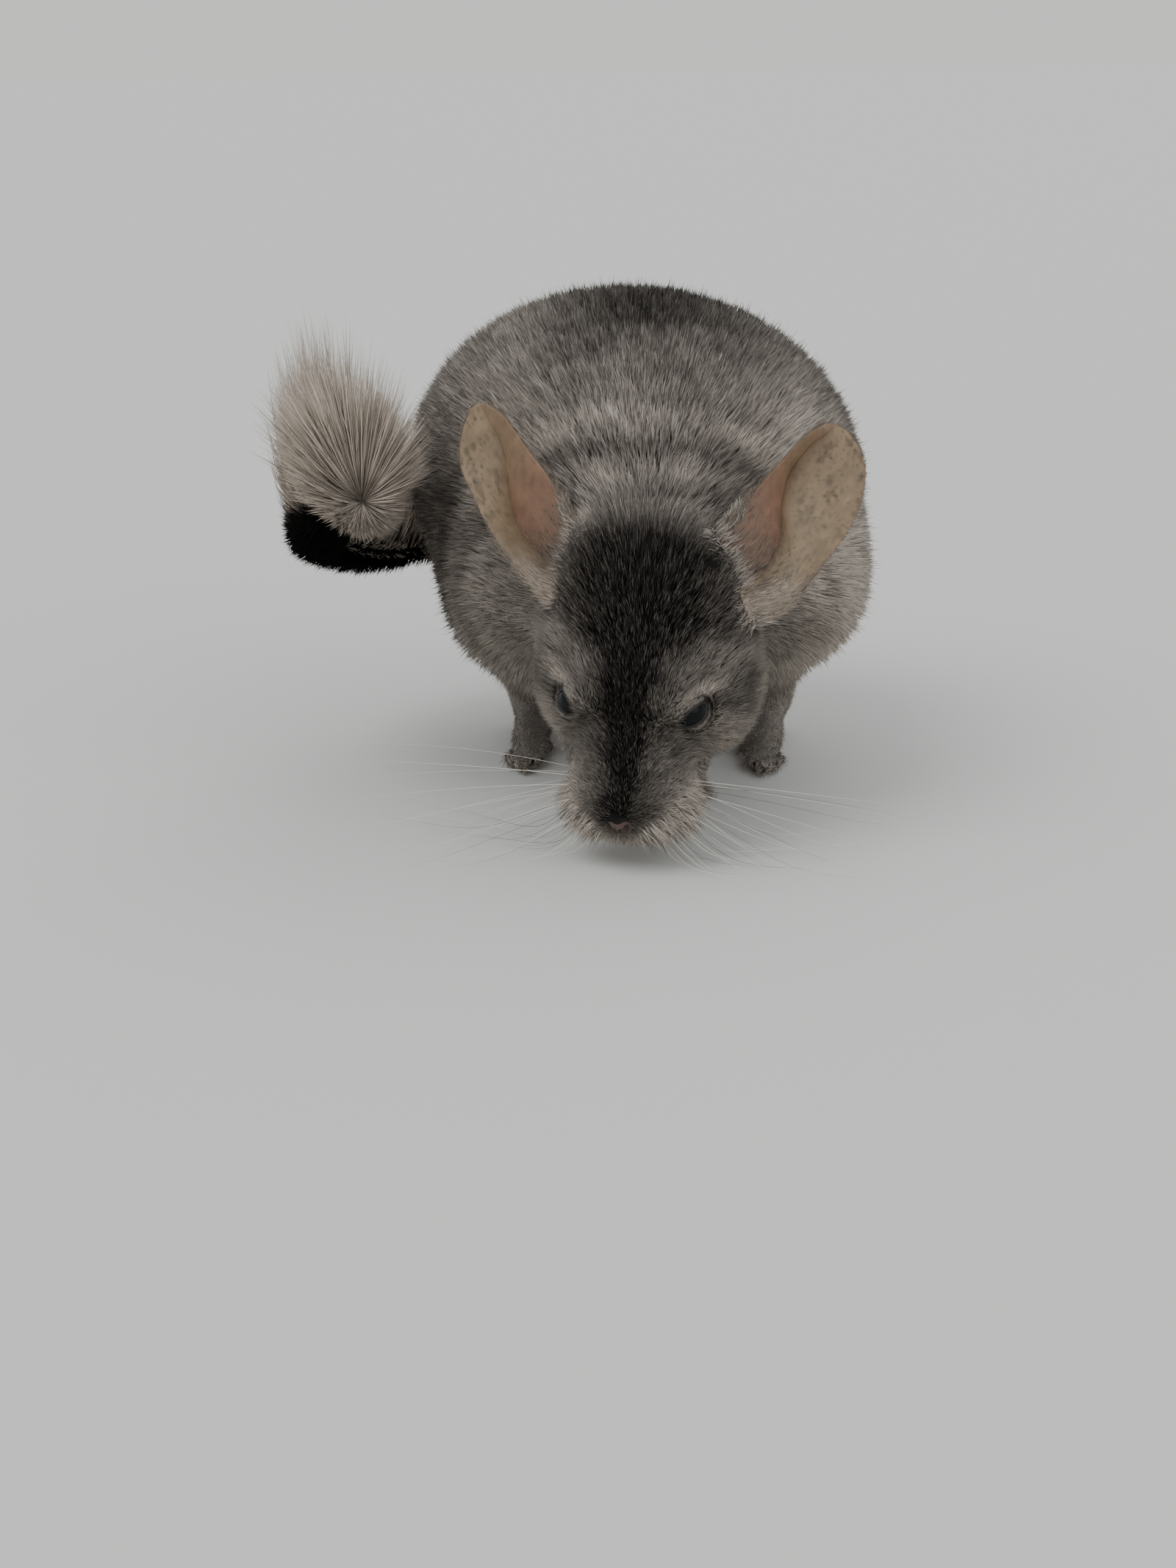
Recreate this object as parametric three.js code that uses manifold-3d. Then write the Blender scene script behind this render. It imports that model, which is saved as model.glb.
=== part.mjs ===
// A life-size chinchilla, standing on all four feet with its back arched, its head hung low to sniff the
// ground and its brush curled round on its right. Millimetres, +Z up, the floor at z = 0, its face to -Y.
import * as THREE from "three";
import { mergeVertices } from "three/addons/utils/BufferGeometryUtils.js";
import Module from "manifold-3d";

const wasm = await Module();
wasm.setup();

// Driving dimensions.
const BODY_WIDTH = 150; // across the coat at the flanks
const BODY_LENGTH = 140; // from the shoulders to the rump
const BACK_HEIGHT = 153; // from the floor to the top of the arched back
const LEAN = 6; // degrees that the rump rolls to the animal's right
const HEAD_LENGTH = 83; // from the nose to the back of the skull
const CHEEK_WIDTH = 68;
const MUZZLE_WIDTH = 38;
const NOSE = [-1.5, -98, 15]; // where the nose is over the floor
const HEAD_PITCH = 47; // degrees that the nose hangs below level
const HEAD_YAW = -10; // degrees that the face turns to the animal's right
const HEAD_ROLL = 2;
const EYE_RADIUS = 6;
const EAR_THICKNESS = 1.5;
const TAIL_RADIUS = 9;
const BRUSH_LENGTH = 52; // of the longest hair on the top of the brush
const HIND_FOOT_LENGTH = 56;
const FORE_FOOT_LENGTH = 24;
const FINEST = 0.22; // detail finer than this is left off the faces
const GAP = 0.35; // kept between neighbouring pieces
const SEED = 7;

const MATERIALS = {
  grey_coat: new THREE.MeshStandardMaterial({ color: "#7d7776", roughness: 0.9, metalness: 0 }),
  pale_coat: new THREE.MeshStandardMaterial({ color: "#a8a09c", roughness: 0.9, metalness: 0 }),
  brush_coat: new THREE.MeshStandardMaterial({ color: "#93867b", roughness: 0.9, metalness: 0 }),
  ear_skin: new THREE.MeshStandardMaterial({ color: "#a8876c", roughness: 0.6, metalness: 0 }),
  foot_skin: new THREE.MeshStandardMaterial({ color: "#9c8f8a", roughness: 0.8, metalness: 0 }),
  eye: new THREE.MeshStandardMaterial({ color: "#0d0f12", roughness: 0.1, metalness: 0 }),
};

// Vectors.
const vec = (p) => new THREE.Vector3(...p);
const rad = THREE.MathUtils.degToRad;
const mirrored = (p, side) => [p[0] * side, p[1], p[2]];
const evenly = (radius) => [radius, radius, radius];
const smooth = (t) => THREE.MathUtils.smoothstep(t, 0, 1);

// The head's own frame: x to the animal's left, y back from the nose, z out of the top of the skull.
const headTurn = new THREE.Quaternion().setFromEuler(
  new THREE.Euler(rad(HEAD_PITCH), rad(HEAD_ROLL), rad(HEAD_YAW), "ZYX"),
);
const NOSE_IN_HEAD = [0, -HEAD_LENGTH * 0.6, -5];
const headCentre = vec(NOSE).sub(vec(NOSE_IN_HEAD).applyQuaternion(headTurn));
const onHead = (p) => vec(p).applyQuaternion(headTurn).add(headCentre);

// Distances to simple forms, negative inside. Each takes a THREE.Vector3.
function ellipsoid(centre, radii, turn = null) {
  const c = centre.isVector3 ? centre : vec(centre);
  const back = turn ? turn.clone().invert() : null;
  const p = new THREE.Vector3();
  return (q) => {
    p.copy(q).sub(c);
    if (back) p.applyQuaternion(back);
    const near = Math.hypot(p.x / radii[0], p.y / radii[1], p.z / radii[2]);
    const slope = Math.hypot(p.x / radii[0] ** 2, p.y / radii[1] ** 2, p.z / radii[2] ** 2);
    return slope < 1e-9 ? -Math.min(...radii) : (near * (near - 1)) / slope;
  };
}

function limb(from, to, fromRadius, toRadius) {
  const a = from.isVector3 ? from : vec(from);
  const along = (to.isVector3 ? to.clone() : vec(to)).sub(a);
  const p = new THREE.Vector3();
  return (q) => {
    p.copy(q).sub(a);
    const t = THREE.MathUtils.clamp(p.dot(along) / along.lengthSq(), 0, 1);
    return p.addScaledVector(along, -t).length() - THREE.MathUtils.lerp(fromRadius, toRadius, t);
  };
}

function blended(d, e, width) {
  const near = Math.max(width - Math.abs(d - e), 0) / width;
  return Math.min(d, e) - (near * near * width) / 4;
}

// The trunk: a ball of a rump, a lower shoulder, a short neck.
const halfWidth = BODY_WIDTH / 2;
const rumpCentre = [-4, 42, BACK_HEIGHT - 60];
const rumpRadii = [halfWidth, BODY_LENGTH / 2, 60];
const rumpTurn = new THREE.Quaternion().setFromAxisAngle(new THREE.Vector3(0, 1, 0), rad(LEAN));
const trunkForms = [
  [ellipsoid(rumpCentre, rumpRadii, rumpTurn), 0],
  [ellipsoid([2, -2, 80], [56, 42, 42]), 30],
  [limb([3, 0, 86], [5, -46, 72], 44, 31), 22],
  [ellipsoid([46, -4, 66], [25, 32, 26]), 20],
  [ellipsoid([-34, -6, 64], [24, 28, 24]), 20],
];

// The head, in its own frame.
const cheek = CHEEK_WIDTH / 2;
const muzzle = MUZZLE_WIDTH / 2;
const headForms = [
  [ellipsoid(onHead([0, 7, 0]), [27, 30, 24], headTurn), 16],
  [limb(onHead([0, -12, -4]), onHead([0, -38, -9]), 18, 12), 12],
  ...[-1, 1].flatMap((side) => [
    [ellipsoid(onHead([side * (cheek - 16.5), 0, -8]), [16.5, 20, 19], headTurn), 10],
    [ellipsoid(onHead([side * (muzzle - 10), -35, -12]), [10.5, 11, 9.5], headTurn), 6],
    [ellipsoid(onHead([side * 13, -15, 12]), [5, 9, 5], headTurn), 6],
  ]),
  [ellipsoid(onHead([0, -44, -6]), [6, 6.5, 5], headTurn), 5],
  [ellipsoid(onHead([0, -30, -19]), [9, 10, 6], headTurn), 6],
];

// The legs. The elbow and the knee are hidden in the coat.
const HIP = [38, 52, 80];
const KNEE = [42, 4, 54];
const HOCK = [40, 58, 13];
const INSTEP = [40, 30, 6];
const SHOULDER = [32, -14, 76];
const ELBOW = [28, 4, 46];
const WRIST = [17, -16, 14];
const PALM = [16, -26, 5];
const legForms = [-1, 1].flatMap((side) => [
  [limb(mirrored(HIP, side), mirrored(KNEE, side), 28, 17), 12],
  [limb(mirrored(KNEE, side), mirrored(HOCK, side), 15, 9), 10],
  [limb(mirrored(HOCK, side), mirrored(INSTEP, side), 8, 6), 5],
  [limb(mirrored(SHOULDER, side), mirrored(ELBOW, side), 17, 12), 12],
  [limb(mirrored(ELBOW, side), mirrored(WRIST, side), 11, 7), 8],
  [limb(mirrored(WRIST, side), mirrored(PALM, side), 6, 5.5), 3],
]);

function fieldOf(forms) {
  return (p) => forms.reduce((d, [form, width]) => (width ? blended(d, form(p), width) : form(p)), 1e3);
}
const flesh = fieldOf([...trunkForms, ...headForms, ...legForms]);

// The closed surface where a field crosses level, as a net of quads between low and high, each cell wide.
function netSurface(field, low, high, cell, level = 0) {
  const count = low.map((l, i) => Math.ceil((high[i] - l) / cell) + 1);
  const at = (i, j, k) => (i * count[1] + j) * count[2] + k;
  const values = new Float32Array(count[0] * count[1] * count[2]);
  const p = new THREE.Vector3();
  const place = (i, j, k) => p.set(low[0] + i * cell, low[1] + j * cell, low[2] + k * cell);
  for (let i = 0; i < count[0]; i++)
    for (let j = 0; j < count[1]; j++)
      for (let k = 0; k < count[2]; k++) {
        const edge = !i || !j || !k || i === count[0] - 1 || j === count[1] - 1 || k === count[2] - 1;
        const value = field(place(i, j, k)) - level;
        values[at(i, j, k)] = edge ? Math.max(value, cell / 4) : value;
      }
  const points = [];
  const made = new Map();
  const corners = [0, 1, 2, 3, 4, 5, 6, 7].map((c) => [c & 1, (c >> 1) & 1, c >> 2]);
  const step = cell * 0.05;
  const slope = new THREE.Vector3();
  const probe = new THREE.Vector3();
  function settle(v) {
    for (let turn = 0; turn < 3; turn++) {
      const here = field(v) - level;
      slope.set(
        field(probe.copy(v).setX(v.x + step)) - level - here,
        field(probe.copy(v).setY(v.y + step)) - level - here,
        field(probe.copy(v).setZ(v.z + step)) - level - here,
      );
      slope.divideScalar(step);
      const move = THREE.MathUtils.clamp(here / Math.max(slope.lengthSq(), 0.2), -cell / 4, cell / 4);
      v.addScaledVector(slope, -move);
    }
  }
  for (let i = 0; i + 1 < count[0]; i++)
    for (let j = 0; j + 1 < count[1]; j++)
      for (let k = 0; k + 1 < count[2]; k++) {
        const v = corners.map(([a, b, c]) => values[at(i + a, j + b, k + c)]);
        if (v.every((x) => x < 0) || v.every((x) => x >= 0)) continue;
        const sum = new THREE.Vector3();
        let crossings = 0;
        for (let a = 0; a < 8; a++)
          for (const bit of [1, 2, 4]) {
            const b = a | bit;
            if (b === a || v[a] < 0 === v[b] < 0) continue;
            const t = v[a] / (v[a] - v[b]);
            const [from, to] = [corners[a], corners[b]];
            sum.add(probe.set(...from.map((x, axis) => x + (to[axis] - x) * t)));
            crossings++;
          }
        const vertex = sum.divideScalar(crossings).multiplyScalar(cell).add(place(i, j, k));
        settle(vertex);
        made.set(at(i, j, k), points.length);
        points.push(vertex);
      }
  const index = [];
  function quad(a, b, c, d, flip) {
    const [pa, pb, pc, pd] = [a, b, c, d].map((n) => points[n]);
    const short = pa.distanceToSquared(pc) < pb.distanceToSquared(pd);
    const faces = short ? [a, b, c, a, c, d] : [a, b, d, b, c, d];
    if (flip) faces.reverse();
    index.push(...faces);
  }
  for (let i = 0; i + 1 < count[0]; i++)
    for (let j = 0; j + 1 < count[1]; j++)
      for (let k = 0; k + 1 < count[2]; k++) {
        const inside = values[at(i, j, k)] < 0;
        const cellAt = (a, b, c) => made.get(at(i - a, j - b, k - c));
        if (inside !== values[at(i + 1, j, k)] < 0)
          quad(cellAt(0, 0, 0), cellAt(0, 1, 0), cellAt(0, 1, 1), cellAt(0, 0, 1), !inside);
        if (inside !== values[at(i, j + 1, k)] < 0)
          quad(cellAt(0, 0, 0), cellAt(0, 0, 1), cellAt(1, 0, 1), cellAt(1, 0, 0), !inside);
        if (inside !== values[at(i, j, k + 1)] < 0)
          quad(cellAt(0, 0, 0), cellAt(1, 0, 0), cellAt(1, 1, 0), cellAt(0, 1, 0), !inside);
      }
  const geometry = new THREE.BufferGeometry().setFromPoints(points);
  return geometry.setIndex(index);
}

// Between three.js geometries and solids that can be joined and cut.
function solid(geometry, matrix = null) {
  const plain = new THREE.BufferGeometry().setIndex(geometry.index);
  plain.setAttribute("position", geometry.getAttribute("position").clone());
  if (matrix) plain.applyMatrix4(matrix);
  const merged = mergeVertices(plain, 1e-4);
  const mesh = new wasm.Mesh({
    numProp: 3,
    vertProperties: merged.attributes.position.array,
    triVerts: new Uint32Array(merged.index.array),
  });
  return new wasm.Manifold(mesh);
}

function largest(manifold) {
  return manifold.decompose().reduce((a, b) => (a.volume() > b.volume() ? a : b));
}

// Corners that touch but belong to different folds are drawn back a little, each towards its own neighbours.
function partTouching(places, triVerts) {
  const CLOSE = 0.004;
  const key = (i) => [0, 1, 2].map((axis) => Math.round(places[i * 3 + axis] / CLOSE)).join();
  const seen = new Map();
  for (let i = 0; i < places.length / 3; i++) seen.set(key(i), [...(seen.get(key(i)) ?? []), i]);
  for (const twins of [...seen.values()].filter((group) => group.length > 1))
    for (const twin of twins) {
      const here = new THREE.Vector3().fromArray(places, twin * 3);
      const around = new THREE.Vector3();
      for (let t = 0; t < triVerts.length; t += 3) {
        const corners = [...triVerts.subarray(t, t + 3)];
        if (!corners.includes(twin)) continue;
        for (const c of corners) around.add(new THREE.Vector3().fromArray(places, c * 3).sub(here));
      }
      here.addScaledVector(around.normalize(), 0.03).toArray(places, twin * 3);
    }
}

function geometryOf(manifold) {
  const { vertProperties, triVerts, numProp, numVert } = manifold.getMesh();
  const places = new Float32Array(numVert * 3);
  for (let i = 0; i < numVert; i++) places.set(vertProperties.subarray(i * numProp, i * numProp + 3), i * 3);
  partTouching(places, triVerts);
  const geometry = new THREE.BufferGeometry().setAttribute("position", new THREE.BufferAttribute(places, 3));
  geometry.setIndex(new THREE.BufferAttribute(triVerts, 1));
  geometry.computeVertexNormals();
  return geometry;
}

function placed(position, turn = new THREE.Quaternion(), scale = [1, 1, 1]) {
  const at = position.isVector3 ? position : vec(position);
  return new THREE.Matrix4().compose(at, turn, vec(scale));
}

function ball(centre, radii, turn = new THREE.Quaternion(), around = 14, down = 8) {
  return solid(new THREE.SphereGeometry(1, around, down), placed(centre, turn, radii));
}

function turnTo(direction) {
  return new THREE.Quaternion().setFromUnitVectors(new THREE.Vector3(0, 1, 0), vec(direction).normalize());
}

// All of space on the side of a plane that direction points to.
function sideOf(point, direction) {
  const HUGE = 400;
  const away = vec(direction).normalize();
  const centre = (point.isVector3 ? point.clone() : vec(point)).addScaledVector(away, HUGE / 2);
  return solid(new THREE.BoxGeometry(HUGE, HUGE, HUGE), placed(centre, turnTo(direction)));
}

const pieces = [];
function keep(name, material, manifold) {
  const mesh = new THREE.Mesh(geometryOf(largest(manifold.simplify(FINEST))), MATERIALS[material]);
  mesh.name = name;
  pieces.push(mesh);
}

// Toes and claws of a foot, fanned out from its ball. A left foot's toe is [x, y, degrees turned, length].
function toesOf(side, toes, radius, clawLength) {
  const parts = [];
  for (const [x, y, turn, length] of toes) {
    const forward = new THREE.Vector3(0, -1, 0).applyAxisAngle(new THREE.Vector3(0, 0, 1), rad(turn * side));
    const slope = new THREE.Quaternion().setFromUnitVectors(new THREE.Vector3(0, 1, 0), forward);
    const middle = new THREE.Vector3(x * side, y, radius * 0.86).addScaledVector(forward, length / 2);
    parts.push(solid(new THREE.CapsuleGeometry(radius, length, 2, 6), placed(middle, slope)));
    const claw = new THREE.ConeGeometry(radius * 0.36, clawLength, 4);
    const tip = middle.clone().addScaledVector(forward, length / 2 + radius * 0.8 + clawLength / 2);
    parts.push(solid(claw, placed(tip.setZ(radius * 1.05), slope)));
  }
  return parts;
}
const HIND_TOES = [[35.5, 13, 8, 7], [40, 11, -1, 9], [44.5, 13, -9, 7], [33.5, 24, 16, 4]];
const FORE_TOES = [[11.5, -29, 14, 3], [14.8, -31, 4, 4], [18.2, -31, -6, 4], [21, -29, -18, 3]];

// An ear: rows of points from the root to the tip, each from its inner edge over the crease to the outer one.
const EARS = {
  left: [
    [[25, -59, 93], [31, -62, 79], [36, -70, 68]],
    [[31, -57, 98], [40, -57, 82.5], [46, -70, 73.5]],
    [[35.5, -54, 103], [44, -51, 89.5], [52.5, -65, 80]],
    [[40, -52, 108], [44, -47, 98], [60, -58, 88]],
    [[45, -49, 113], [46, -43.5, 107], [66, -51, 96.5]],
    [[49.5, -46, 117.5], [52, -41, 115], [68.5, -45, 106]],
    [[54, -43, 120.5], [57, -40, 118.5], [67.5, -42, 113]],
    [[57, -40, 121.5], [60, -39, 121], [63.5, -40, 119]],
  ],
  right: [
    [[-15.5, -54, 93], [-17.5, -58, 81.5], [-20, -65, 71]],
    [[-18.5, -52, 99], [-26, -52, 84], [-28.5, -65, 79]],
    [[-22, -49, 104], [-33, -46, 90], [-36, -60, 86.5]],
    [[-26, -47, 109.5], [-36, -42, 97], [-42, -53, 93.5]],
    [[-30.5, -44, 114.5], [-37.5, -38.5, 106.5], [-47.5, -46, 102]],
    [[-34.5, -41, 119.5], [-39, -36, 114.5], [-51.5, -40, 110]],
    [[-38.5, -38, 124], [-42.5, -35, 121], [-51, -37, 118.5]],
    [[-43, -35, 126.5], [-46, -34, 127], [-48.5, -35, 125.5]],
  ],
};

function earSurface(rows) {
  const lines = [0, 1, 2].map((c) => new THREE.CatmullRomCurve3(rows.map((row) => vec(row[c]))));
  return (along, across) => {
    const [inner, crease, outer] = lines.map((line) => line.getPoint(along));
    const fold = 0.38;
    const t = across < fold ? across / fold : (across - fold) / (1 - fold);
    const point = across < fold ? inner.lerp(crease, Math.sin((t * Math.PI) / 2)) : crease.lerp(outer, t);
    const swell = across < fold ? 0 : Math.sin(t * Math.PI) * (1 - along) * 2.2;
    point.y -= swell;
    return point;
  };
}

function earSolid(side) {
  const ALONG = 12;
  const ACROSS = 8;
  const surface = earSurface(EARS[side]);
  const front = [];
  const back = [];
  for (let i = 0; i <= ALONG; i++)
    for (let j = 0; j <= ACROSS; j++) {
      const [u, v] = [i / ALONG, j / ACROSS];
      const here = surface(u, v);
      const ahead = surface(Math.min(u + 0.02, 1), v).sub(surface(Math.max(u - 0.02, 0), v));
      const aside = surface(u, Math.min(v + 0.02, 1)).sub(surface(u, Math.max(v - 0.02, 0)));
      const normal = ahead.cross(aside).normalize();
      if (normal.y > 0) normal.negate();
      const half = EAR_THICKNESS * (0.5 + 0.5 * (1 - u) ** 2);
      front.push(here.clone().addScaledVector(normal, half));
      back.push(here.clone().addScaledVector(normal, -half));
    }
  const points = [...front, ...back];
  const width = ACROSS + 1;
  const index = [];
  const quad = (a, b, c, d) => index.push(a, b, c, a, c, d);
  for (let i = 0; i < ALONG; i++)
    for (let j = 0; j < ACROSS; j++) {
      const a = i * width + j;
      quad(a, a + 1, a + width + 1, a + width);
      const b = a + front.length;
      quad(b, b + width, b + width + 1, b + 1);
    }
  const rim = [];
  for (let j = 0; j < ACROSS; j++) rim.push(j);
  for (let i = 0; i < ALONG; i++) rim.push(i * width + ACROSS);
  for (let j = ACROSS; j > 0; j--) rim.push(ALONG * width + j);
  for (let i = ALONG; i > 0; i--) rim.push(i * width);
  rim.forEach((a, n) => {
    const b = rim[(n + 1) % rim.length];
    quad(a, a + front.length, b + front.length, b);
  });
  const geometry = new THREE.BufferGeometry().setFromPoints(points).setIndex(index);
  const shape = solid(geometry);
  return shape.volume() > 0 ? shape : solid(geometry.setIndex(index.reverse()));
}

// The tail leaves the rump, runs round on the animal's right and ends with its tip turned to the front.
const TAIL_PATH = new THREE.CatmullRomCurve3(
  [[-42, 92, 68], [-69, 80, 66], [-94, 48, 67], [-104, 14, 77], [-98, -12, 88], [-86, -27, 95]].map(vec),
);
function tailCore(from, to) {
  const STEPS = 5;
  const at = (k) => from + ((to - from) * k) / STEPS;
  const radius = (t) => TAIL_RADIUS * (1 - 0.35 * t);
  const parts = [];
  for (let k = 0; k < STEPS; k++) {
    const [a, b] = [at(k), at(k + 1)].map((t) => TAIL_PATH.getPoint(t));
    const middle = a.clone().lerp(b, 0.5);
    const turn = turnTo(b.clone().sub(a).toArray());
    const rod = new THREE.CylinderGeometry(radius(at(k + 1)), radius(at(k)), a.distanceTo(b) + 2, 8);
    parts.push(solid(rod, placed(middle, turn)));
    parts.push(ball(b, evenly(radius(at(k + 1))), turn, 8, 5));
  }
  return parts;
}

// One flat lock of the brush: it starts inside the core, leaves it and bends towards the tail's tip.
const random = seeded(SEED);
function seeded(seed) {
  let state = seed;
  return () => {
    state = (state * 1664525 + 1013904223) % 4294967296;
    return state / 4294967296;
  };
}
function lock(root, direction, sweep, length, width) {
  const SIDES = 4;
  const SEGMENTS = 3;
  const cone = new THREE.ConeGeometry(width / 2, length, SIDES, SEGMENTS).translate(0, length / 2, 0);
  const place = cone.attributes.position;
  const bend = length * 0.28;
  for (let n = 0; n < place.count; n++) {
    const t = place.getY(n) / length;
    const swell = 1 + 1.1 * Math.sin(Math.PI * Math.min(t * 1.15, 1));
    place.setXYZ(n, place.getX(n) * swell, place.getY(n), place.getZ(n) * swell * 0.45 + bend * t * t);
  }
  const up = direction.clone().normalize();
  const forward = sweep.clone().addScaledVector(up, -sweep.dot(up)).normalize();
  const aside = new THREE.Vector3().crossVectors(up, forward);
  const turn = new THREE.Matrix4().makeBasis(aside, up, forward).setPosition(root);
  return solid(cone, turn);
}

// Locks round the tail between two places on its path: long on top, short below.
function locksOf(from, to, rows, around) {
  const parts = [];
  for (let i = 0; i < rows; i++)
    for (let j = 0; j < around; j++) {
      const t = from + ((to - from) * (i + 0.5 + 0.5 * (random() - 0.5))) / rows;
      const tangent = TAIL_PATH.getTangent(t);
      const aside = new THREE.Vector3().crossVectors(tangent, new THREE.Vector3(0, 0, 1)).normalize();
      const up = new THREE.Vector3().crossVectors(aside, tangent).normalize();
      const angle = ((j + 0.5 * (i % 2) + 0.4 * random()) / around) * Math.PI * 2;
      const out = up.clone().multiplyScalar(Math.cos(angle)).addScaledVector(aside, Math.sin(angle));
      const rise = Math.max(Math.cos(angle), 0) ** 0.8;
      const grown = smooth((t - 0.12) / 0.3);
      const length = (16 + (BRUSH_LENGTH - 16) * rise * grown) * (0.88 + 0.24 * random());
      out.addScaledVector(tangent, 1.1 - 0.7 * rise).addScaledVector(new THREE.Vector3(0, 0, 1), 1.1 * rise);
      const root = TAIL_PATH.getPoint(t).addScaledVector(out.normalize(), TAIL_RADIUS * 0.35);
      parts.push(lock(root, out, tangent, length, 9 + 4 * rise));
    }
  return parts;
}

// The planes and ovals that part the body. Each comes as [region, the same region grown by the gap].
const parting = (make) => [make(0), make(GAP)];
const before = (point, direction) =>
  parting((gap) => sideOf(vec(point).addScaledVector(vec(direction).normalize(), -gap), direction));
const crown = before(onHead([0, 27, 4]).toArray(), [0, -0.8, -0.6]);
const throatLine = before([0, -44, 0], [0, -1, 0]);
const headRegion = [0, 1].map((n) => crown[n].intersect(throatLine[n]));
const collar = before([3, -38, 84], [0.02, -0.94, -0.34]);
const nape = parting((gap) => ball([4, -50, 74], [44 + gap, 36 + gap, 52 + gap]));
const neckRegion = [0, 1].map((n) => collar[n].intersect(nape[n]));
const footHeight = 13;
const footRegion = before([0, 0, footHeight], [0, 0, -1]);
const floorCut = sideOf([0, 0, 0], [0, 0, -1]);

const TRUNK_CELL = 11;
const HEAD_CELL = 4.5;
const LEG_CELL = 6;
const trunkSpace = [[-100, -100, 20], [100, 125, 175], TRUNK_CELL];
const headSpace = [[-55, -115, -10], [65, -15, 125], HEAD_CELL];
const trunkNet = solid(netSurface(flesh, ...trunkSpace));
const trunkSkin = solid(netSurface(flesh, ...trunkSpace, GAP));
const legNet = solid(netSurface(flesh, [-95, -60, -10], [95, 100, 110], LEG_CELL));
const headNet = solid(netSurface(flesh, ...headSpace));
const headSkin = solid(netSurface(flesh, ...headSpace, GAP));

let trunk = trunkNet.subtract(headRegion[1]);
const neck = trunk.intersect(neckRegion[0]);
trunk = trunk.subtract(neckRegion[1]);
for (const side of [-1, 1]) {
  const name = side < 0 ? "right" : "left";
  const shankTurn = turnTo([0, -54, 41]);
  const hind = parting((gap) =>
    ball(mirrored([52, 28, 64], side), [32 + gap, 36 + gap, 34 + gap]).add(
      ball(mirrored([42, 34, 30], side), [18 + gap, 50 + gap, 24 + gap], shankTurn),
    ),
  );
  const fore = parting((gap) => ball(mirrored([27, -6, 36], side), [20 + gap, 27 + gap, 38 + gap]));
  const half = sideOf([side * 4, 0, 0], [side, 0, 0]);
  const limbs = legNet.intersect(half);
  const leg = limbs.subtract(headRegion[1]).subtract(neckRegion[1]).subtract(footRegion[1]);
  keep("hindleg_" + name, "grey_coat", leg.intersect(hind[0]));
  keep("foreleg_" + name, "grey_coat", leg.subtract(hind[1]).intersect(fore[0]));
  trunk = trunk.subtract(hind[1]).subtract(fore[1]);

  const feet = limbs.intersect(footRegion[0]);
  const hindSole = ball(mirrored([40, 34, 4.5], side), [6.2, HIND_FOOT_LENGTH / 2 - 3, 5.5]);
  const hindFoot = feet.intersect(ball(mirrored([40, 44, 5], side), [18, 34, 20]));
  const hindParts = [hindFoot, hindSole, ...toesOf(side, HIND_TOES, 2.7, 2.5)];
  keep("hindfoot_" + name, "foot_skin", wasm.Manifold.union(hindParts).subtract(floorCut));
  const foreSole = ball(mirrored([16, -25, 4], side), [6.2, FORE_FOOT_LENGTH / 2 - 2, 4.8]);
  const foreFoot = feet.intersect(ball(mirrored([16, -22, 5], side), [12, 20, 16]));
  const foreParts = [foreFoot, foreSole, ...toesOf(side, FORE_TOES, 1.9, 2.2)];
  keep("forefoot_" + name, "foot_skin", wasm.Manifold.union(foreParts).subtract(floorCut));
}

// The head: sockets with lids, nostrils, the cleft under the nose and the mouth.
let head = headNet.intersect(headRegion[0]);
const EYE_SUNK = 3.2;
const EYE_WAYS = [-1, 1].map((side) => vec([side * 0.8, -0.55, 0.24]).normalize().applyQuaternion(headTurn));
const EYES = EYE_WAYS.map((way, n) => {
  const centre = onHead([n ? 9 : -9, -11, 4]);
  while (flesh(centre) < -EYE_SUNK) centre.addScaledVector(way, 0.1);
  return centre;
});
EYES.forEach((centre, n) => {
  const outward = EYE_WAYS[n];
  const turn = new THREE.Quaternion().setFromUnitVectors(new THREE.Vector3(0, 0, 1), outward);
  const lids = new THREE.TorusGeometry(EYE_RADIUS * 0.82, 1.5, 5, 16);
  lids.scale(1.1, 0.85, 1);
  head = head.add(solid(lids, placed(centre.clone().addScaledVector(outward, 3.0), turn)));
  keep(n ? "eye_left" : "eye_right", "eye", ball(centre, evenly(EYE_RADIUS), turn, 16, 10));
});
for (const centre of EYES) head = head.subtract(ball(centre, evenly(EYE_RADIUS + GAP), undefined, 16, 10));
for (const side of [-1, 1]) {
  const nostril = [1.1, 2.2, 0.9];
  const slant = new THREE.Quaternion().setFromAxisAngle(new THREE.Vector3(0, 0, 1), side * 0.7);
  const tilt = headTurn.clone().multiply(slant);
  head = head.subtract(ball(onHead([side * 3.1, -49, -5.2]), nostril, tilt, 8, 5));
}
const slit = new THREE.BoxGeometry(0.9, 3, 6);
head = head.subtract(solid(slit, placed(onHead([0, -48.5, -11]), headTurn)));
const mouthRadii = [8, 11, 0.8];
head = head.subtract(ball(onHead([0, -37, -15.5]), mouthRadii, headTurn, 16, 6));
keep("head", "grey_coat", head);
keep("neck", "grey_coat", neck);
keep("torso", "grey_coat", trunk);

for (const side of ["left", "right"])
  keep("ear_" + side, "ear_skin", earSolid(side).subtract(headSkin).subtract(trunkSkin));

// The tail and its brush, parted square across.
const PART = 0.52;
const brushPoint = TAIL_PATH.getPoint(PART);
const brushWay = TAIL_PATH.getTangent(PART).toArray();
const tailParts = [...tailCore(0, 1), ...locksOf(0.16, 0.98, 9, 6)];
const brush = wasm.Manifold.union(tailParts).subtract(trunkSkin);
const brushRegion = before(brushPoint.toArray(), brushWay);
keep("tail_base", "brush_coat", brush.subtract(brushRegion[1]));
keep("tail_brush", "brush_coat", brush.intersect(brushRegion[0]));

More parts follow.
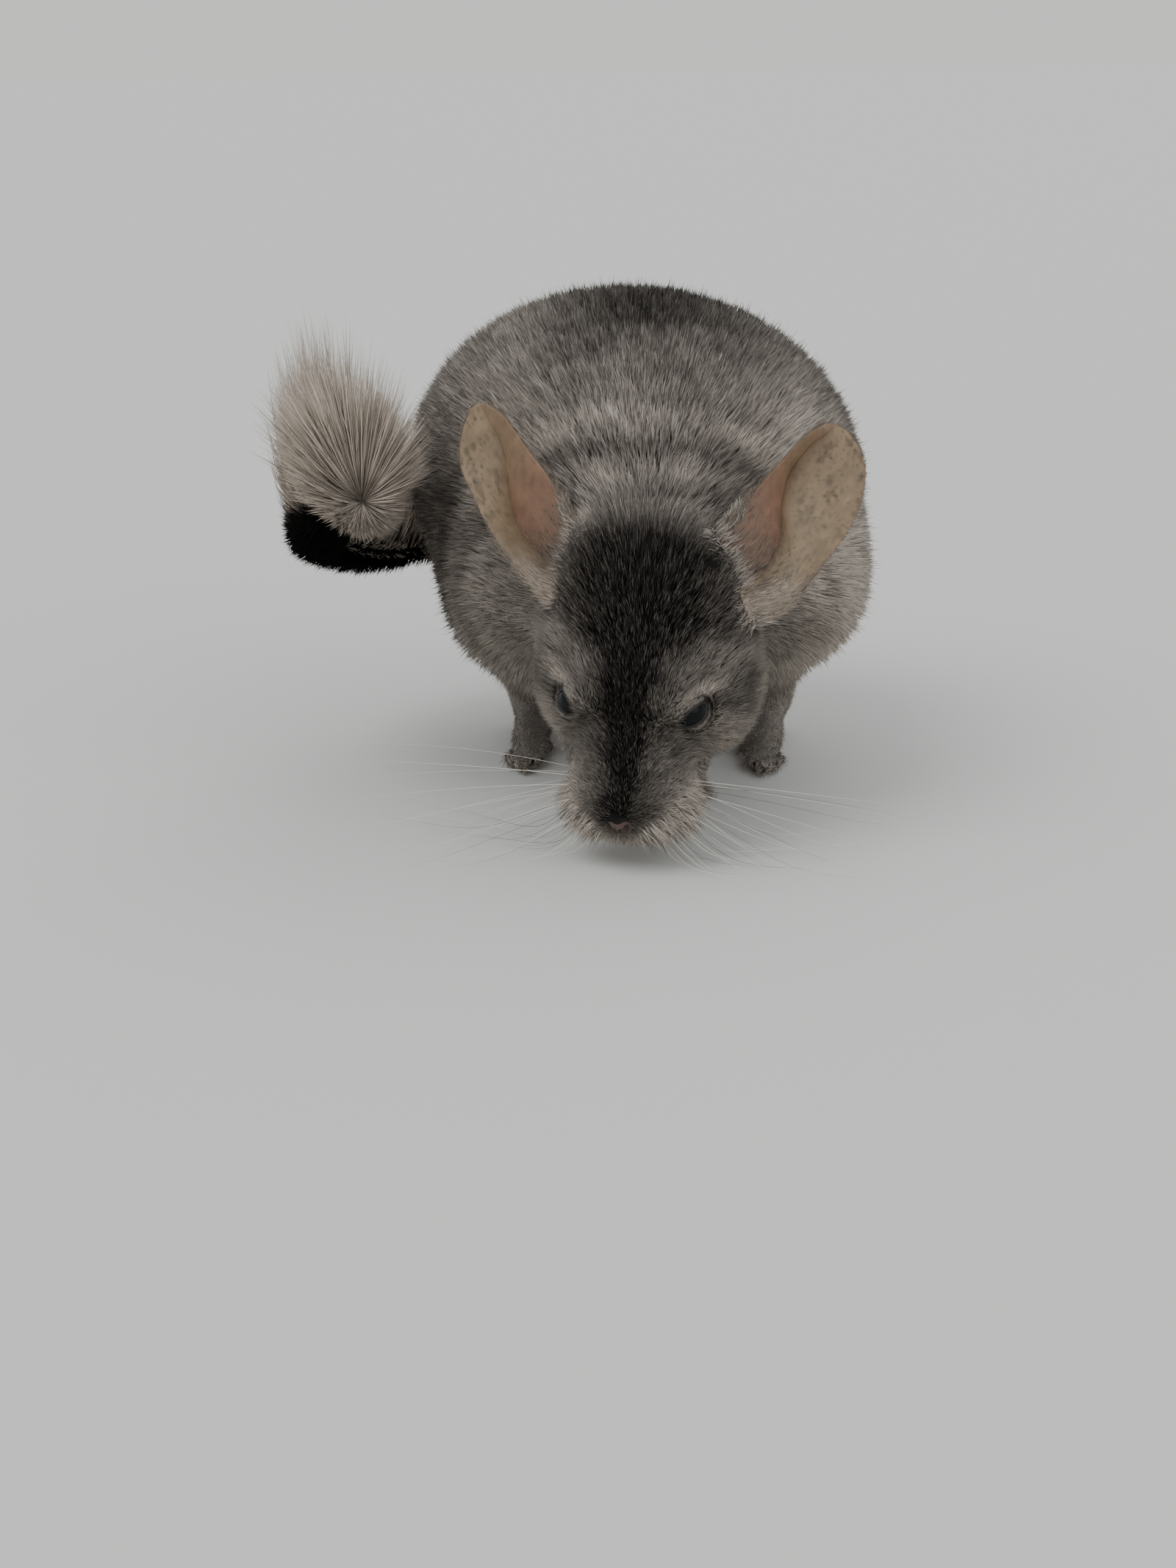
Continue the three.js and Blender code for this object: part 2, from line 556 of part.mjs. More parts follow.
// The origin goes to the middle of the footprint, on the floor.
const body = new THREE.Group();
body.add(...pieces);
const bounds = new THREE.Box3().setFromObject(body);
body.position.set(-(bounds.min.x + bounds.max.x) / 2, -(bounds.min.y + bounds.max.y) / 2, -bounds.min.z);
const root = new THREE.Group();
root.add(body);
export default root;
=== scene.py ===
import math

import bmesh
import bpy
import numpy as np
from mathutils import Matrix, Vector


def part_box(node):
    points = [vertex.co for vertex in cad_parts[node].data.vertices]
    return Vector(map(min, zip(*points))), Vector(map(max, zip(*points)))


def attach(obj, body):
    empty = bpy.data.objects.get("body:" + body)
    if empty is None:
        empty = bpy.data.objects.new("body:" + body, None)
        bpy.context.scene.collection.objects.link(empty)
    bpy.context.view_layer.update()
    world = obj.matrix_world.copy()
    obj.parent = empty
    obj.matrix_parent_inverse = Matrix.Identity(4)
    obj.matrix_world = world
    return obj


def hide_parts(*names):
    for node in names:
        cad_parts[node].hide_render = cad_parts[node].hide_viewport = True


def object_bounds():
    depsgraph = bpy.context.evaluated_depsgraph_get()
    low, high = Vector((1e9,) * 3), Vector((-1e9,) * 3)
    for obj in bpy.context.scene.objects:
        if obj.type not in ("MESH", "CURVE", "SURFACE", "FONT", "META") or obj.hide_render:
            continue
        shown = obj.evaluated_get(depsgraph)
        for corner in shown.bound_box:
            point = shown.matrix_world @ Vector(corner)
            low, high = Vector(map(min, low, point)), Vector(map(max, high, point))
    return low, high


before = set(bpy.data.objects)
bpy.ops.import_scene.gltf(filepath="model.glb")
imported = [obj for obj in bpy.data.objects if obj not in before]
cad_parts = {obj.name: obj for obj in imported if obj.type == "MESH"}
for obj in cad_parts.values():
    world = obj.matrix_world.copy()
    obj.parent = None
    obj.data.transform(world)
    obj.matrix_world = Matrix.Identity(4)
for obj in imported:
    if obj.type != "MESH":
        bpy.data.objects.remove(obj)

cad_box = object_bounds()

# Lengths below are in millimetres in the plan's own frame, whose x = 0 runs between the feet.
MM = 0.001
TOE_TIP = 2.7  # how far the longest hind claw reaches past y = 0
FLOOR_GAP = 0.3  # no hair reaches nearer to the floor
SIDES = ("left", "right")
UPRIGHT = np.array([0, 0, 1.0])
SEED = 11
left_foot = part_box("hindfoot_left")
right_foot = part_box("hindfoot_right")
SHIFT = np.array([(left_foot[1][0] + right_foot[0][0]) / 2, left_foot[0][1] + TOE_TIP * MM, 0.0])
rng = np.random.default_rng(SEED)


def row(points):
    """Plan millimetres to the row frame in metres."""
    return np.asarray(points, float) * MM + SHIFT


def plan(points):
    """The row frame in metres to plan millimetres."""
    return (np.asarray(points, float) - SHIFT) / MM


def linear(code):
    """An sRGB hex colour as linear RGB."""
    parts = [int(code[i : i + 2], 16) / 255 for i in (1, 3, 5)]
    return np.array([c / 12.92 if c <= 0.04045 else ((c + 0.055) / 1.055) ** 2.4 for c in parts])


def unit(v):
    v = np.asarray(v, float)
    return v / np.maximum(np.linalg.norm(v, axis=-1, keepdims=True), 1e-9)


def ramp(x, low, high):
    """A smooth step from 0 at low to 1 at high."""
    t = np.clip((np.asarray(x, float) - low) / (high - low), 0, 1)
    return t * t * (3 - 2 * t)


def bump(x, centre, width):
    """A soft hill, 1 at its centre."""
    return np.exp(-(((np.asarray(x, float) - centre) / width) ** 2))


# The head's own frame: x to the animal's left, y back from the nose, z out of the skull.
HEAD_TURN = np.array(
    (Matrix.Rotation(math.radians(-10), 3, "Z") @ Matrix.Rotation(math.radians(2), 3, "Y"))
    @ Matrix.Rotation(math.radians(47), 3, "X")
)
NOSE = np.array([-1.5, -98.0, 15.0])
NOSE_IN_HEAD = np.array([0.0, -49.8, -5.0])
HEAD_CENTRE = NOSE - HEAD_TURN @ NOSE_IN_HEAD


def in_head(p):
    return (np.asarray(p, float) - HEAD_CENTRE) @ HEAD_TURN


def on_head(p):
    return HEAD_CENTRE + np.asarray(p, float) @ HEAD_TURN.T


# The tail's core runs round the animal's right to a tip that faces front.
TAIL = [[-42, 92, 68], [-69, 80, 66], [-94, 48, 67], [-104, 14, 77], [-98, -12, 88], [-86, -27, 95]]


def curve(points, t):
    """Places and unit tangents at t from 0 to 1 on a Catmull-Rom curve through points."""
    points = np.asarray(points, float)
    pts = np.vstack([2 * points[0] - points[1], points, 2 * points[-1] - points[-2]])
    s = np.clip(np.asarray(t, float), 0, 1) * (len(points) - 1)
    k = np.minimum(s.astype(int), len(points) - 2)
    u = (s - k)[..., None]
    a, b, c, d = (pts[k + i] for i in range(4))
    square = 2 * a - 5 * b + 4 * c - d
    cube = 3 * b - a - 3 * c + d
    where = 0.5 * (2 * b + (c - a) * u + square * u**2 + cube * u**3)
    way = 0.5 * ((c - a) + 2 * square * u + 3 * cube * u**2)
    return where, unit(way)


def waves(p, length, seed):
    """A smooth random field from about -1 to 1 with patches about length across."""
    pick = np.random.default_rng(seed)
    total = 0
    for _ in range(7):
        way = unit(pick.normal(size=3)) * (2 * math.pi / length) * pick.uniform(0.6, 1.5)
        total = total + np.sin(p @ way + pick.uniform(0, 6.28))
    return total / 3.2  # seven sines seldom add up to more


def sway(p, length, seed):
    """Three such fields as a vector."""
    return np.stack([waves(p, length, seed + i) for i in range(3)], 1)


# Which part of the body a point is on: 0 to 1.
def head_share(p):
    return ramp(-in_head(p)[:, 1], -44, -32) * ramp(-p[:, 1], 18, 34)


def leg_share(p):
    return ramp(-p[:, 2], -44, -26) * (1 - head_share(p))


TRUNK_DEPTH = 4.8
WITHERS = np.array([4, -50, 84])  # the trunk's coat streams away from here


def coat_depth(p):
    """How far the skin lies inside the tips of the coat."""
    q = in_head(p)
    face = 0.9 + 2.2 * ramp(q[:, 1], -44, 6) + 1.4 * ramp(q[:, 1], 6, 34)
    leg = 0.5 + 3.4 * ramp(p[:, 2], 10, 44)
    h = head_share(p)
    g = leg_share(p)
    return h * face + (1 - h) * (g * leg + (1 - g) * TRUNK_DEPTH)


def lie(p):
    """The way the coat lies, before it is laid along the skin."""
    h = head_share(p)[:, None]
    g = (leg_share(p) * (1 - h[:, 0]))[:, None]
    body = unit(p - WITHERS) + np.array([0, 0.45, 0]) + np.array([0, 0, -0.4]) * ramp(-p[:, 2:], -110, -60)
    face = unit(p - (NOSE + np.array([0, -2, 0])))
    leg = np.tile([0.0, 0.15, -1.0], (len(p), 1))
    foot = np.tile([0.0, -1.0, -0.2], (len(p), 1))
    low = ramp(-p[:, 2:], -14, -7)
    return h * face + (1 - h) * (g * ((1 - low) * leg + low * foot) + (1 - g) * body)


# A dark crease that runs from the eye's inner corner down the cheek, in the head's frame.
TEAR = np.array([[13.2, -23.9, 9.5], [15.7, -23.6, 2.8], [19.4, -22.6, -5.6]])
TEAR_WIDTH = 1.1
# Patches on both sides of the face: place in the head's frame, width, and how much paler they are.
FACE_SPOTS = (([24, -17, -3], 7, 0.17), ([31, -6, 1], 7, -0.24), ([25.5, -12.5, 3.5], 3, -0.22))
# Arcs round the nape: distance from their centre, width, and how much paler they are.
ARC_CENTRE = np.array([3, -52, 62])
ARCS = ((73, 4.5, 0.15), (81, 3, -0.06), (61, 3, -0.17), (53, 3, 0.10), (46.5, 2.5, -0.06), (98, 4, -0.04))
SHOULDER_SHADE = [-39, -38, 60]  # a small patch of painted shade low on the right shoulder, beside the neck


def line_gap(p, a, b):
    """Distance from points to the straight line from a to b."""
    t = np.clip((p - a) @ (b - a) / ((b - a) @ (b - a)), 0, 1)
    return np.linalg.norm(p - a - t[:, None] * (b - a), axis=1)


def spot(p, centre, width):
    """A soft round patch, 1 at its centre."""
    return bump(np.linalg.norm(p - np.array(centre), axis=1), 0, width)


def trunk_lightness(p, n):
    """Dark over the back, paler down the sides and on the belly, with arcs round the nape, and painted shade
    on the right flank by the tail and low on the right shoulder.
    """
    top = ramp(n[:, 2], 0.1, 0.95)
    shoulder = ramp(p[:, 0], 24, 60) * ramp(-p[:, 1], -44, 6)
    reach = np.linalg.norm((p - ARC_CENTRE) * np.array([1, 1, 1.1]), axis=1) + 2.5 * waves(p, 45, 3)
    light = 0.57 + 0.20 * ramp(-n[:, 2], 0.2, 0.9) + 0.36 * shoulder - 0.07 * ramp(reach, 80, 92) * top
    light = light - (0.05 + 0.25 * bump(p[:, 0], 2, 34)) * top * ramp(reach, 93, 118)
    light = light + 0.14 * bump(p[:, 0], -46, 20) * ramp(p[:, 2], 92, 112)
    # Painted shade on the right flank, under and beside the tail.
    light = light - 0.10 * bump(p[:, 0], -70, 16) * ramp(-p[:, 2], -110, -80)
    light = light - 0.11 * ramp(-p[:, 0], 46, 58) * bump(p[:, 2], 92, 24)
    # Painted shade low on the right shoulder, in the gap beside the neck.
    light = light - 0.16 * spot(p, SHOULDER_SHADE, 9)
    for radius, wide, paler in ARCS:
        light = light + ramp(-p[:, 1], -46, -8) * paler * bump(reach, radius, wide)
    fine = (0.05 * waves(p, 11, 6) + 0.08 * waves(p, 4.5, 7)) * ramp(p[:, 2], 20, 60)
    return light + 0.04 * waves(p, 30, 5) + fine


def head_lightness(p, q):
    """A broad black crown that narrows to a blaze, mid-grey cheeks, pale pads, chin and brows."""
    x, y, z = q.T
    side = np.abs(x)
    mirrored = np.stack([side, y, z], 1)
    light = 0.44 + 0.13 * ramp(side, 12, 26) + 0.08 * ramp(-z, -2, 14)
    edge = 5.5 + 4.0 * ramp(y, -32, -14) + 18.5 * ramp(y, -11, 12) + 1.5 * waves(p, 8, 10)
    dark = (1 - ramp(side, edge - 4.0, edge + 5.0)) * ramp(z, -12, 0) * (1 - ramp(y, 22, 35))
    middle = bump(side, 0, 0.45 * edge + 4)
    light = light - dark * (0.31 + 0.28 * middle) * (0.75 + 0.25 * ramp(y, -44, -20))
    for centre, wide, paler in FACE_SPOTS:
        light = light + paler * spot(mirrored, centre, wide)
    crease = np.minimum(line_gap(mirrored, TEAR[0], TEAR[1]), line_gap(mirrored, TEAR[1], TEAR[2]))
    light = light - 0.20 * bump(crease, 0, TEAR_WIDTH)
    brow = bump(side - 0.69 * (y + 13.2), 19.7, 2.2) * bump(y, -13.5, 6.5) * ramp(z, 5, 9)
    light = light + 0.42 * brow
    pads = ramp(-y, 20, 38) * ramp(-z, 2, 14) + 0.35 * ramp(-y, 26, 38) * ramp(side, 8, 16)
    light = light + 0.62 * np.clip(pads, 0, 1)
    return light + 0.04 * waves(p, 9, 8) + 0.05 * waves(p, 3.2, 9)


def lightness(p, n):
    """The markings, with painted shade by the tail and low on the right shoulder: 0 for the darkest hair and
    1 for the palest, anywhere on the body or the head.
    """
    q = in_head(p)
    x, y, z = q.T
    h = head_share(p)
    light = h * head_lightness(p, q) + (1 - h) * trunk_lightness(p, n)
    # A pale patch on each side, behind the crown.
    light = light + 0.34 * bump(np.abs(x), 22.5, 3.6) * bump(y, 35.5, 6.5) * ramp(z, 10, 15)
    g = leg_share(p)
    leg = 0.82 + 0.10 * ramp(-p[:, 2], -16, -4) + 0.05 * waves(p, 6, 12)
    return np.clip((1 - g) * light + g * leg, 0.0, 1.0)


DARK_HAIR = linear("#080706")
PALE_HAIR = linear("#d8cfc6")


def hair_colour(light, warm=0.0):
    """Linear RGB of a hair for a lightness, from near black to a warm pale grey."""
    t = np.clip(light, 0, 1.2)[..., None] ** 1.55
    colour = DARK_HAIR * (1 - t) + PALE_HAIR * t
    return colour * (1 + np.array([0.10, 0.0, -0.12]) * np.asarray(warm)[..., None])


def along_hair(light, warm, shares):
    """Colours for the rings and the tip of each hair, from shares of its lightness."""
    return np.stack([hair_colour(light * k, warm) for k in shares], 1)


MARKS_AND_SHADE = "MarksAndShade"  # the colour attribute that holds the markings and the painted shade


def node(tree, kind, inputs=(), **settings):
    """Adds a node with its settings, and fills or links its inputs."""
    made = tree.nodes.new(kind)
    for key, value in settings.items():
        setattr(made, key, value)
    for key, value in dict(inputs).items():
        if isinstance(value, bpy.types.NodeSocket):
            tree.links.new(value, made.inputs[key])
        else:
            made.inputs[key].default_value = value
    return made


def material(name, rough, colour=None, **sockets):
    """A Principled material of one colour, or without one, of the markings and painted shade that the mesh
    carries.
    """
    made = bpy.data.materials.new(name)
    made.use_nodes = True
    tree = made.node_tree
    shader = tree.nodes["Principled BSDF"]
    shader.inputs["Roughness"].default_value = rough
    for key, value in sockets.items():
        shader.inputs[key.replace("_", " ")].default_value = value
    if colour:
        shader.inputs["Base Color"].default_value = (*linear(colour), 1)
    else:
        marks = node(tree, "ShaderNodeVertexColor", layer_name=MARKS_AND_SHADE)
        tree.links.new(marks.outputs["Color"], shader.inputs["Base Color"])
    return made


def add_bump(made, scale, strength, distance):
    """A fine grain: scale in patches a metre, distance in metres."""
    tree = made.node_tree
    place = node(tree, "ShaderNodeTexCoord")
    inputs = {"Vector": place.outputs["Object"], "Scale": scale, "Detail": 6.0}
    grain = node(tree, "ShaderNodeTexNoise", inputs)
    inputs = {"Height": grain.outputs["Fac"], "Strength": strength, "Distance": distance}
    raised = node(tree, "ShaderNodeBump", inputs)
    tree.links.new(raised.outputs["Normal"], tree.nodes["Principled BSDF"].inputs["Normal"])


# Fur is matt, with hardly a highlight, and takes its colour hair by hair.
FUR = material("fur", 0.8, Specular_IOR_Level=0.12)
# Short fur over skin shows between the tufts, matt, with a grain about 1.1 mm across.
SKIN = material("short fur over skin", 0.85, Specular_IOR_Level=0.2)
add_bump(SKIN, 900.0, 0.6, 0.0006)
# The wet surface of a dark eye is near black, with small clear lights.
EYE = material("eye", 0.12, "#06080b", Specular_IOR_Level=0.16)
# Bare lid skin is dark grey-brown and dull.
LID = material("lid skin", 0.55, "#1d1816")
# Nose skin is dusky, with a leathery grain about 0.4 mm across.
NOSE_SKIN = material("nose skin", 0.6, Specular_IOR_Level=0.2)
add_bump(NOSE_SKIN, 2500.0, 0.35, 0.0003)
# Claw horn is dark, with a low polish.
CLAW = material("claw horn", 0.4, "#2c2623")
# Whisker hair is smooth and slightly glossy.
WHISKER = material("whisker", 0.35)
# Thin ear skin lets light some 2 mm in, which warms it.
EAR_LIGHT = {"Subsurface_Weight": 0.25, "Subsurface_Radius": (0.004, 0.0015, 0.001), "Subsurface_Scale": 0.5}
EAR = material("ear skin", 0.55, **EAR_LIGHT)


def keep(obj, slot, *nodes):
    """A finished piece rides with the root body and stands for its CAD nodes."""
    obj.data.shade_smooth()
    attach(obj, "root")
    if nodes:
        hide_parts(*nodes)


def tint(mesh, colours):
    """Gives each vertex its colour: its marking, with painted shade where there is some."""
    layer = mesh.color_attributes.new(MARKS_AND_SHADE, "FLOAT_COLOR", "POINT")
    layer.data.foreach_set("color", np.hstack([colours, np.ones((len(colours), 1))]).ravel())


def placed(name, data, surface=None):
    """A new object for a mesh and its material, or for a lamp or camera."""
    if surface:
        data.materials.append(surface)
    obj = bpy.data.objects.new(name, data)
    bpy.context.scene.collection.objects.link(obj)
    return obj


def from_bmesh(name, bm, surface=None):
    """A new object for a bmesh, which is freed."""
    mesh = bpy.data.meshes.new(name)
    bm.to_mesh(mesh)
    bm.free()
    return placed(name, mesh, surface)


def mesh_object(name, verts, faces, surface, colours=None, uv=None):
    """verts in metres, faces as equal rows of vertex numbers, colours and uv with a row for each vertex."""
    mesh = bpy.data.meshes.new(name)
    faces = np.asarray(faces)
    mesh.vertices.add(len(verts))
    mesh.vertices.foreach_set("co", np.asarray(verts, float).ravel())
    mesh.loops.add(faces.size)
    mesh.loops.foreach_set("vertex_index", faces.ravel())
    mesh.polygons.add(len(faces))
    mesh.polygons.foreach_set("loop_start", np.arange(len(faces)) * faces.shape[1])
    mesh.update(calc_edges=True)
    if colours is not None:
        tint(mesh, colours)
    if uv is not None:
        corners = np.empty(len(mesh.loops), int)
        mesh.loops.foreach_get("vertex_index", corners)
        mesh.uv_layers.new(name="OFBake").data.foreach_set("uv", uv[corners].ravel())
    return placed(name, mesh, surface)


def face_outwards(obj):
    bm = bmesh.new()
    bm.from_mesh(obj.data)
    bmesh.ops.recalc_face_normals(bm, faces=bm.faces)
    bm.to_mesh(obj.data)
    bm.free()


def arrays(obj):
    """Places and normals of a mesh's vertices."""
    mesh = obj.data
    co = np.empty(len(mesh.vertices) * 3)
    no = np.empty(len(mesh.vertices) * 3)
    mesh.vertices.foreach_get("co", co)
    mesh.vertex_normals.foreach_get("vector", no)
    return co.reshape(-1, 3), no.reshape(-1, 3)


def apply_modifiers(obj):
    graph = bpy.context.evaluated_depsgraph_get()
    mesh = bpy.data.meshes.new_from_object(obj.evaluated_get(graph))
    obj.modifiers.clear()
    old = obj.data
    obj.data = mesh
    bpy.data.meshes.remove(old)


LIMBS = ("hindleg", "foreleg", "hindfoot", "forefoot")
FLESH = ["torso", "neck", "head"] + [f"{limb}_{side}" for limb in LIMBS for side in SIDES]
SWELL = 0.0004  # metres by which each node grows, so that they fuse
VOXEL = 0.0014
SMOOTHING = (("", 8), ("trunk", 45))  # rounds everywhere, then on the trunk alone
TAIL_BALLS = 26
TAIL_RADIUS, TAIL_TAPER = 7.0, 3.2  # the tail's core at its base, and how much less at its tip
TAIL_REACH = 9  # skin as near as this to the core's line is the tail's


def flesh():
    """The flesh nodes, swollen until they overlap, and the tail's core."""
    joined = bmesh.new()
    for name in FLESH:
        piece = bmesh.new()
        piece.from_mesh(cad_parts[name].data)
        bmesh.ops.remove_doubles(piece, verts=piece.verts, dist=1e-6)
        bmesh.ops.recalc_face_normals(piece, faces=piece.faces)
        piece.normal_update()
        for v in piece.verts:
            v.co += v.normal * SWELL
        mesh = bpy.data.meshes.new("part")
        piece.to_mesh(mesh)
        joined.from_mesh(mesh)
        bpy.data.meshes.remove(mesh)
        piece.free()
    steps = np.linspace(0.0, 1.0, TAIL_BALLS)
    centres, _ = curve(TAIL, steps)
    for centre, t in zip(row(centres), steps):
        radius = (TAIL_RADIUS - TAIL_TAPER * t) * MM
        bmesh.ops.create_icosphere(joined, subdivisions=2, radius=radius, matrix=Matrix.Translation(centre))
    return joined


def build_skin():
    """The flesh remeshed finely, smoothed, and drawn in by the depth of the coat."""
    obj = from_bmesh("skin", flesh())
    remesh = obj.modifiers.new("remesh", "REMESH")
    remesh.mode = "VOXEL"
    remesh.voxel_size = VOXEL
    apply_modifiers(obj)
    co, _ = arrays(obj)
    p = plan(co)
    trunk = (1 - head_share(p)) * ramp(p[:, 2], 34, 52)
    group = obj.vertex_groups.new(name="trunk")
    for k in range(1, 11):
        group.add(np.flatnonzero(np.round(trunk * 10) == k).tolist(), k / 10, "REPLACE")
    for label, rounds in SMOOTHING:
        soften = obj.modifiers.new("soften", "SMOOTH")
        soften.iterations = rounds
        soften.vertex_group = label
    apply_modifiers(obj)
    co, no = arrays(obj)
    p = plan(co)
    on_tail = np.zeros(len(p))
    centres, _ = curve(TAIL, np.linspace(0.1, 1, 40))
    for centre in centres:
        on_tail = np.maximum(on_tail, ramp(-np.linalg.norm(p - centre, axis=1), -14, -TAIL_REACH))
    depth = coat_depth(p) * (1 - on_tail)
    obj.data.vertices.foreach_set("co", (co - no * depth[:, None] * MM).ravel())
    obj.data.update()
    return obj


skin = build_skin()
skin.data.materials.clear()
skin.data.materials.append(SKIN)
skin_co, skin_no = arrays(skin)
skin_p = plan(skin_co)
tail_line, _ = curve(TAIL, np.linspace(0, 1, 60))
tail_gap = np.min([np.linalg.norm(skin_p - c, axis=1) for c in tail_line[4:]], axis=0)
is_tail = tail_gap < TAIL_REACH
tint(skin.data, hair_colour(np.where(is_tail, 0.06, lightness(skin_p, skin_no) * 0.55)))
keep(skin, "grey_coat", *FLESH)

PATCH = 0.003  # how wide each strand's own patch is on the unwrap
KEEL = 0.45  # a strand's depth below its flat side, as a share of half its width


def scatter(density):
    """Random roots on the skin: density(points) gives tufts per square millimetre."""
    mesh = skin.data
    mesh.calc_loop_triangles()
    tris = np.empty(len(mesh.loop_triangles) * 3, int)
    mesh.loop_triangles.foreach_get("vertices", tris)
    tris = tris.reshape(-1, 3)
    a, b, c = (skin_p[tris[:, k]] for k in range(3))
    area = np.linalg.norm(np.cross(b - a, c - a), axis=1) / 2
    wanted = area * density((a + b + c) / 3)
    wanted[is_tail[tris].any(axis=1)] = 0
    count = rng.poisson(wanted)
    pick = np.repeat(np.arange(len(tris)), count)
    u, v = rng.random((2, len(pick)))
    flip = u + v > 1
    u[flip], v[flip] = 1 - u[flip], 1 - v[flip]
    w = 1 - u - v
    weights = np.stack([w, u, v], 1)[:, :, None]
    return (skin_p[tris[pick]] * weights).sum(1), unit((skin_no[tris[pick]] * weights).sum(1))


def strands(spines, side, up, half):
    """Closed flat strands. spines is (count, rings + 1, 3), tip last; half is half of each ring's width."""
    count, last = spines.shape[0], spines.shape[1] - 1
    reach = half[:, :, None]
    rings = spines[:, :-1]
    side, up = side[:, None], up[:, None]
    corners = np.stack([rings - side * reach, rings + side * reach, rings - up * reach * KEEL], 2)
    corners = corners.reshape(count, -1, 3)
    points = np.concatenate([corners, spines[:, -1:]], 1)
    per = points.shape[1]
    faces = [(0, 1, 2)]
    for k in range(last - 1):
        for j in range(3):
            a, b = 3 * k + j, 3 * k + (j + 1) % 3
            faces += [(a, b + 3, b), (a, a + 3, b + 3)]
    faces += [(3 * last - 3 + j, per - 1, 3 * last - 3 + (j + 1) % 3) for j in range(3)]
    corners = (np.arange(count)[:, None, None] * per + np.array(faces)[None]).reshape(-1, 3)
    points[..., 2] = np.maximum(points[..., 2], FLOOR_GAP)
    return points.reshape(-1, 3), corners


def shades(colours):
    """Colours per corner point from one row per ring and the tip."""
    rings = colours.shape[1] - 1
    return np.repeat(colours, [3] * rings + [1], axis=1).reshape(-1, 3)


def laid(way, normal):
    """way, turned along the skin."""
    return unit(way - normal * (way * normal).sum(1, keepdims=True))


def tufts(root, normal, way, length, width, lift):
    """Straight tufts laid along the skin and lifted off it, their roots sunk."""
    along = laid(way, normal)
    side = np.cross(normal, along)
    first = along * np.cos(lift)[:, None] + normal * np.sin(lift)[:, None]
    base = root - normal * 0.3
    spines = np.stack([base, base + first * length[:, None]], 1)
    return strands(spines, side, np.cross(first, side), width[:, None] / 2)


def patch_uv(place, rings):
    """Each strand's own patch, at its root's place on the unwrap."""
    across = np.array([0, 1, 0.5] * rings + [0.5]) * PATCH
    up = (np.repeat(np.arange(rings), 3) + np.array([0, 0, 0.2] * rings)) / rings
    up = np.concatenate([up, [1.0]]) * PATCH
    return (place[:, None, :] + np.stack([across, up], 1)[None]).reshape(-1, 2)


def unwrap(p, centre, axis):
    """Longitude and latitude round a centre, as 0 to 1."""
    d = unit(p - centre)
    pole = unit(np.asarray(axis, float))
    one = unit(np.cross(pole, [0.3, 0.2, 0.93]))
    two = np.cross(pole, one)
    u = np.arctan2(d @ two, d @ one) / (2 * math.pi) + 0.5
    v = np.arccos(np.clip(d @ pole, -1, 1)) / math.pi
    return np.clip(np.stack([u, v], 1), 0.001, 0.994)


def coat_piece(name, verts, faces, colours, uv, slot="grey_coat", nodes=()):
    """One joined piece of the coat. colours has a row for each ring of a strand and for its tip."""
    keep(mesh_object(name, row(verts), faces, FUR, shades(colours), uv), slot, *nodes)


def middle(name):
    low, high = (np.array(corner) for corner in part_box(name))
    return plan((low + high) / 2)


EYES = {side: middle("eye_" + side) for side in SIDES}
EYE_RADIUS = 6.0
LID_RADIUS = 6.25
# Where each eye looks out between its lids, and the line of its opening from the outer to the inner corner.
GAZE = {"left": HEAD_TURN @ unit([0.56, -0.46, 0.69]), "right": HEAD_TURN @ unit([-0.50, -0.46, 0.73])}
INNER_CORNER = HEAD_TURN @ np.array([0, -1.0, 0.6])
# Half the opening's height above and below, and half its length to the inner and outer corner, as angles.
TALL = {"left": (0.24, 0.44), "right": (0.22, 0.36)}
LONG = (0.90, 0.78)


def opening_axes(side):
    """The gaze, the way to the inner corner and the way to the upper lid."""
    out = GAZE[side]
    front = unit(INNER_CORNER - out * (INNER_CORNER @ out))
    up = np.cross(front, out)
    return out, front, up if up @ HEAD_TURN[:, 2] > 0 else -up


def over_opening(side, place, margin):
    """Whether a point lies in front of the opening between the lids."""
    out, front, up = opening_axes(side)
    off = place - EYES[side]
    along, height = off @ front, off @ up
    half_long = EYE_RADIUS * np.sin(np.where(along > 0, *LONG)) + margin
    half_tall = EYE_RADIUS * np.sin(np.where(height > 0, *TALL[side])) + margin
    return ((along / half_long) ** 2 + (height / half_tall) ** 2 < 1) & (off @ out > 0)


def round_opening(side, angle, beyond):
    """Directions from the eye's centre, at angles round the gaze and so far beyond the lids' rim."""
    out, front, up = opening_axes(side)
    c, s = np.cos(angle), np.sin(angle)
    rim = 1 / np.sqrt((c / np.where(c > 0, *LONG)) ** 2 + (s / np.where(s > 0, *TALL[side])) ** 2)
    polar = rim + beyond
    away = front * c[:, None] + up * s[:, None]
    return out * np.cos(polar)[:, None] + away * np.sin(polar)[:, None], away


# No tuft of the coat grows nearer to the middle of the nose, in the head's frame, or to the floor.
NOSE_MIDDLE = [0, -48.6, -4.5]
NOSE_BARE = 3.3
SOLE_BARE = 1.4
# Places along a tuft, and how far from the eye's opening each has to stay.
EYE_CLEAR = ((0, 0.4), (1.2, 0.3), (2.4, 0.1), (3.6, -0.3))
GUARD_SHARE = 0.07
DARK_TIP_SHARE = 0.36
LONGEST_TUFT = 8.5
# The coat is cut into pieces: sectors round the trunk, then zones for the legs, the face and the crown.
SECTORS, LEGS, FACE, CROWN = 7, 10, 20, 22


def density(p):
    """Tufts in each square millimetre."""
    h = head_share(p)
    face = 9.2 - 3.6 * ramp(in_head(p)[:, 1], -30, 12)
    g = leg_share(p)
    belly = ramp(-p[:, 2], -62, -44)
    return h * face + (1 - h) * (g * 2.3 + (1 - g) * (3.1 - 1.6 * belly))


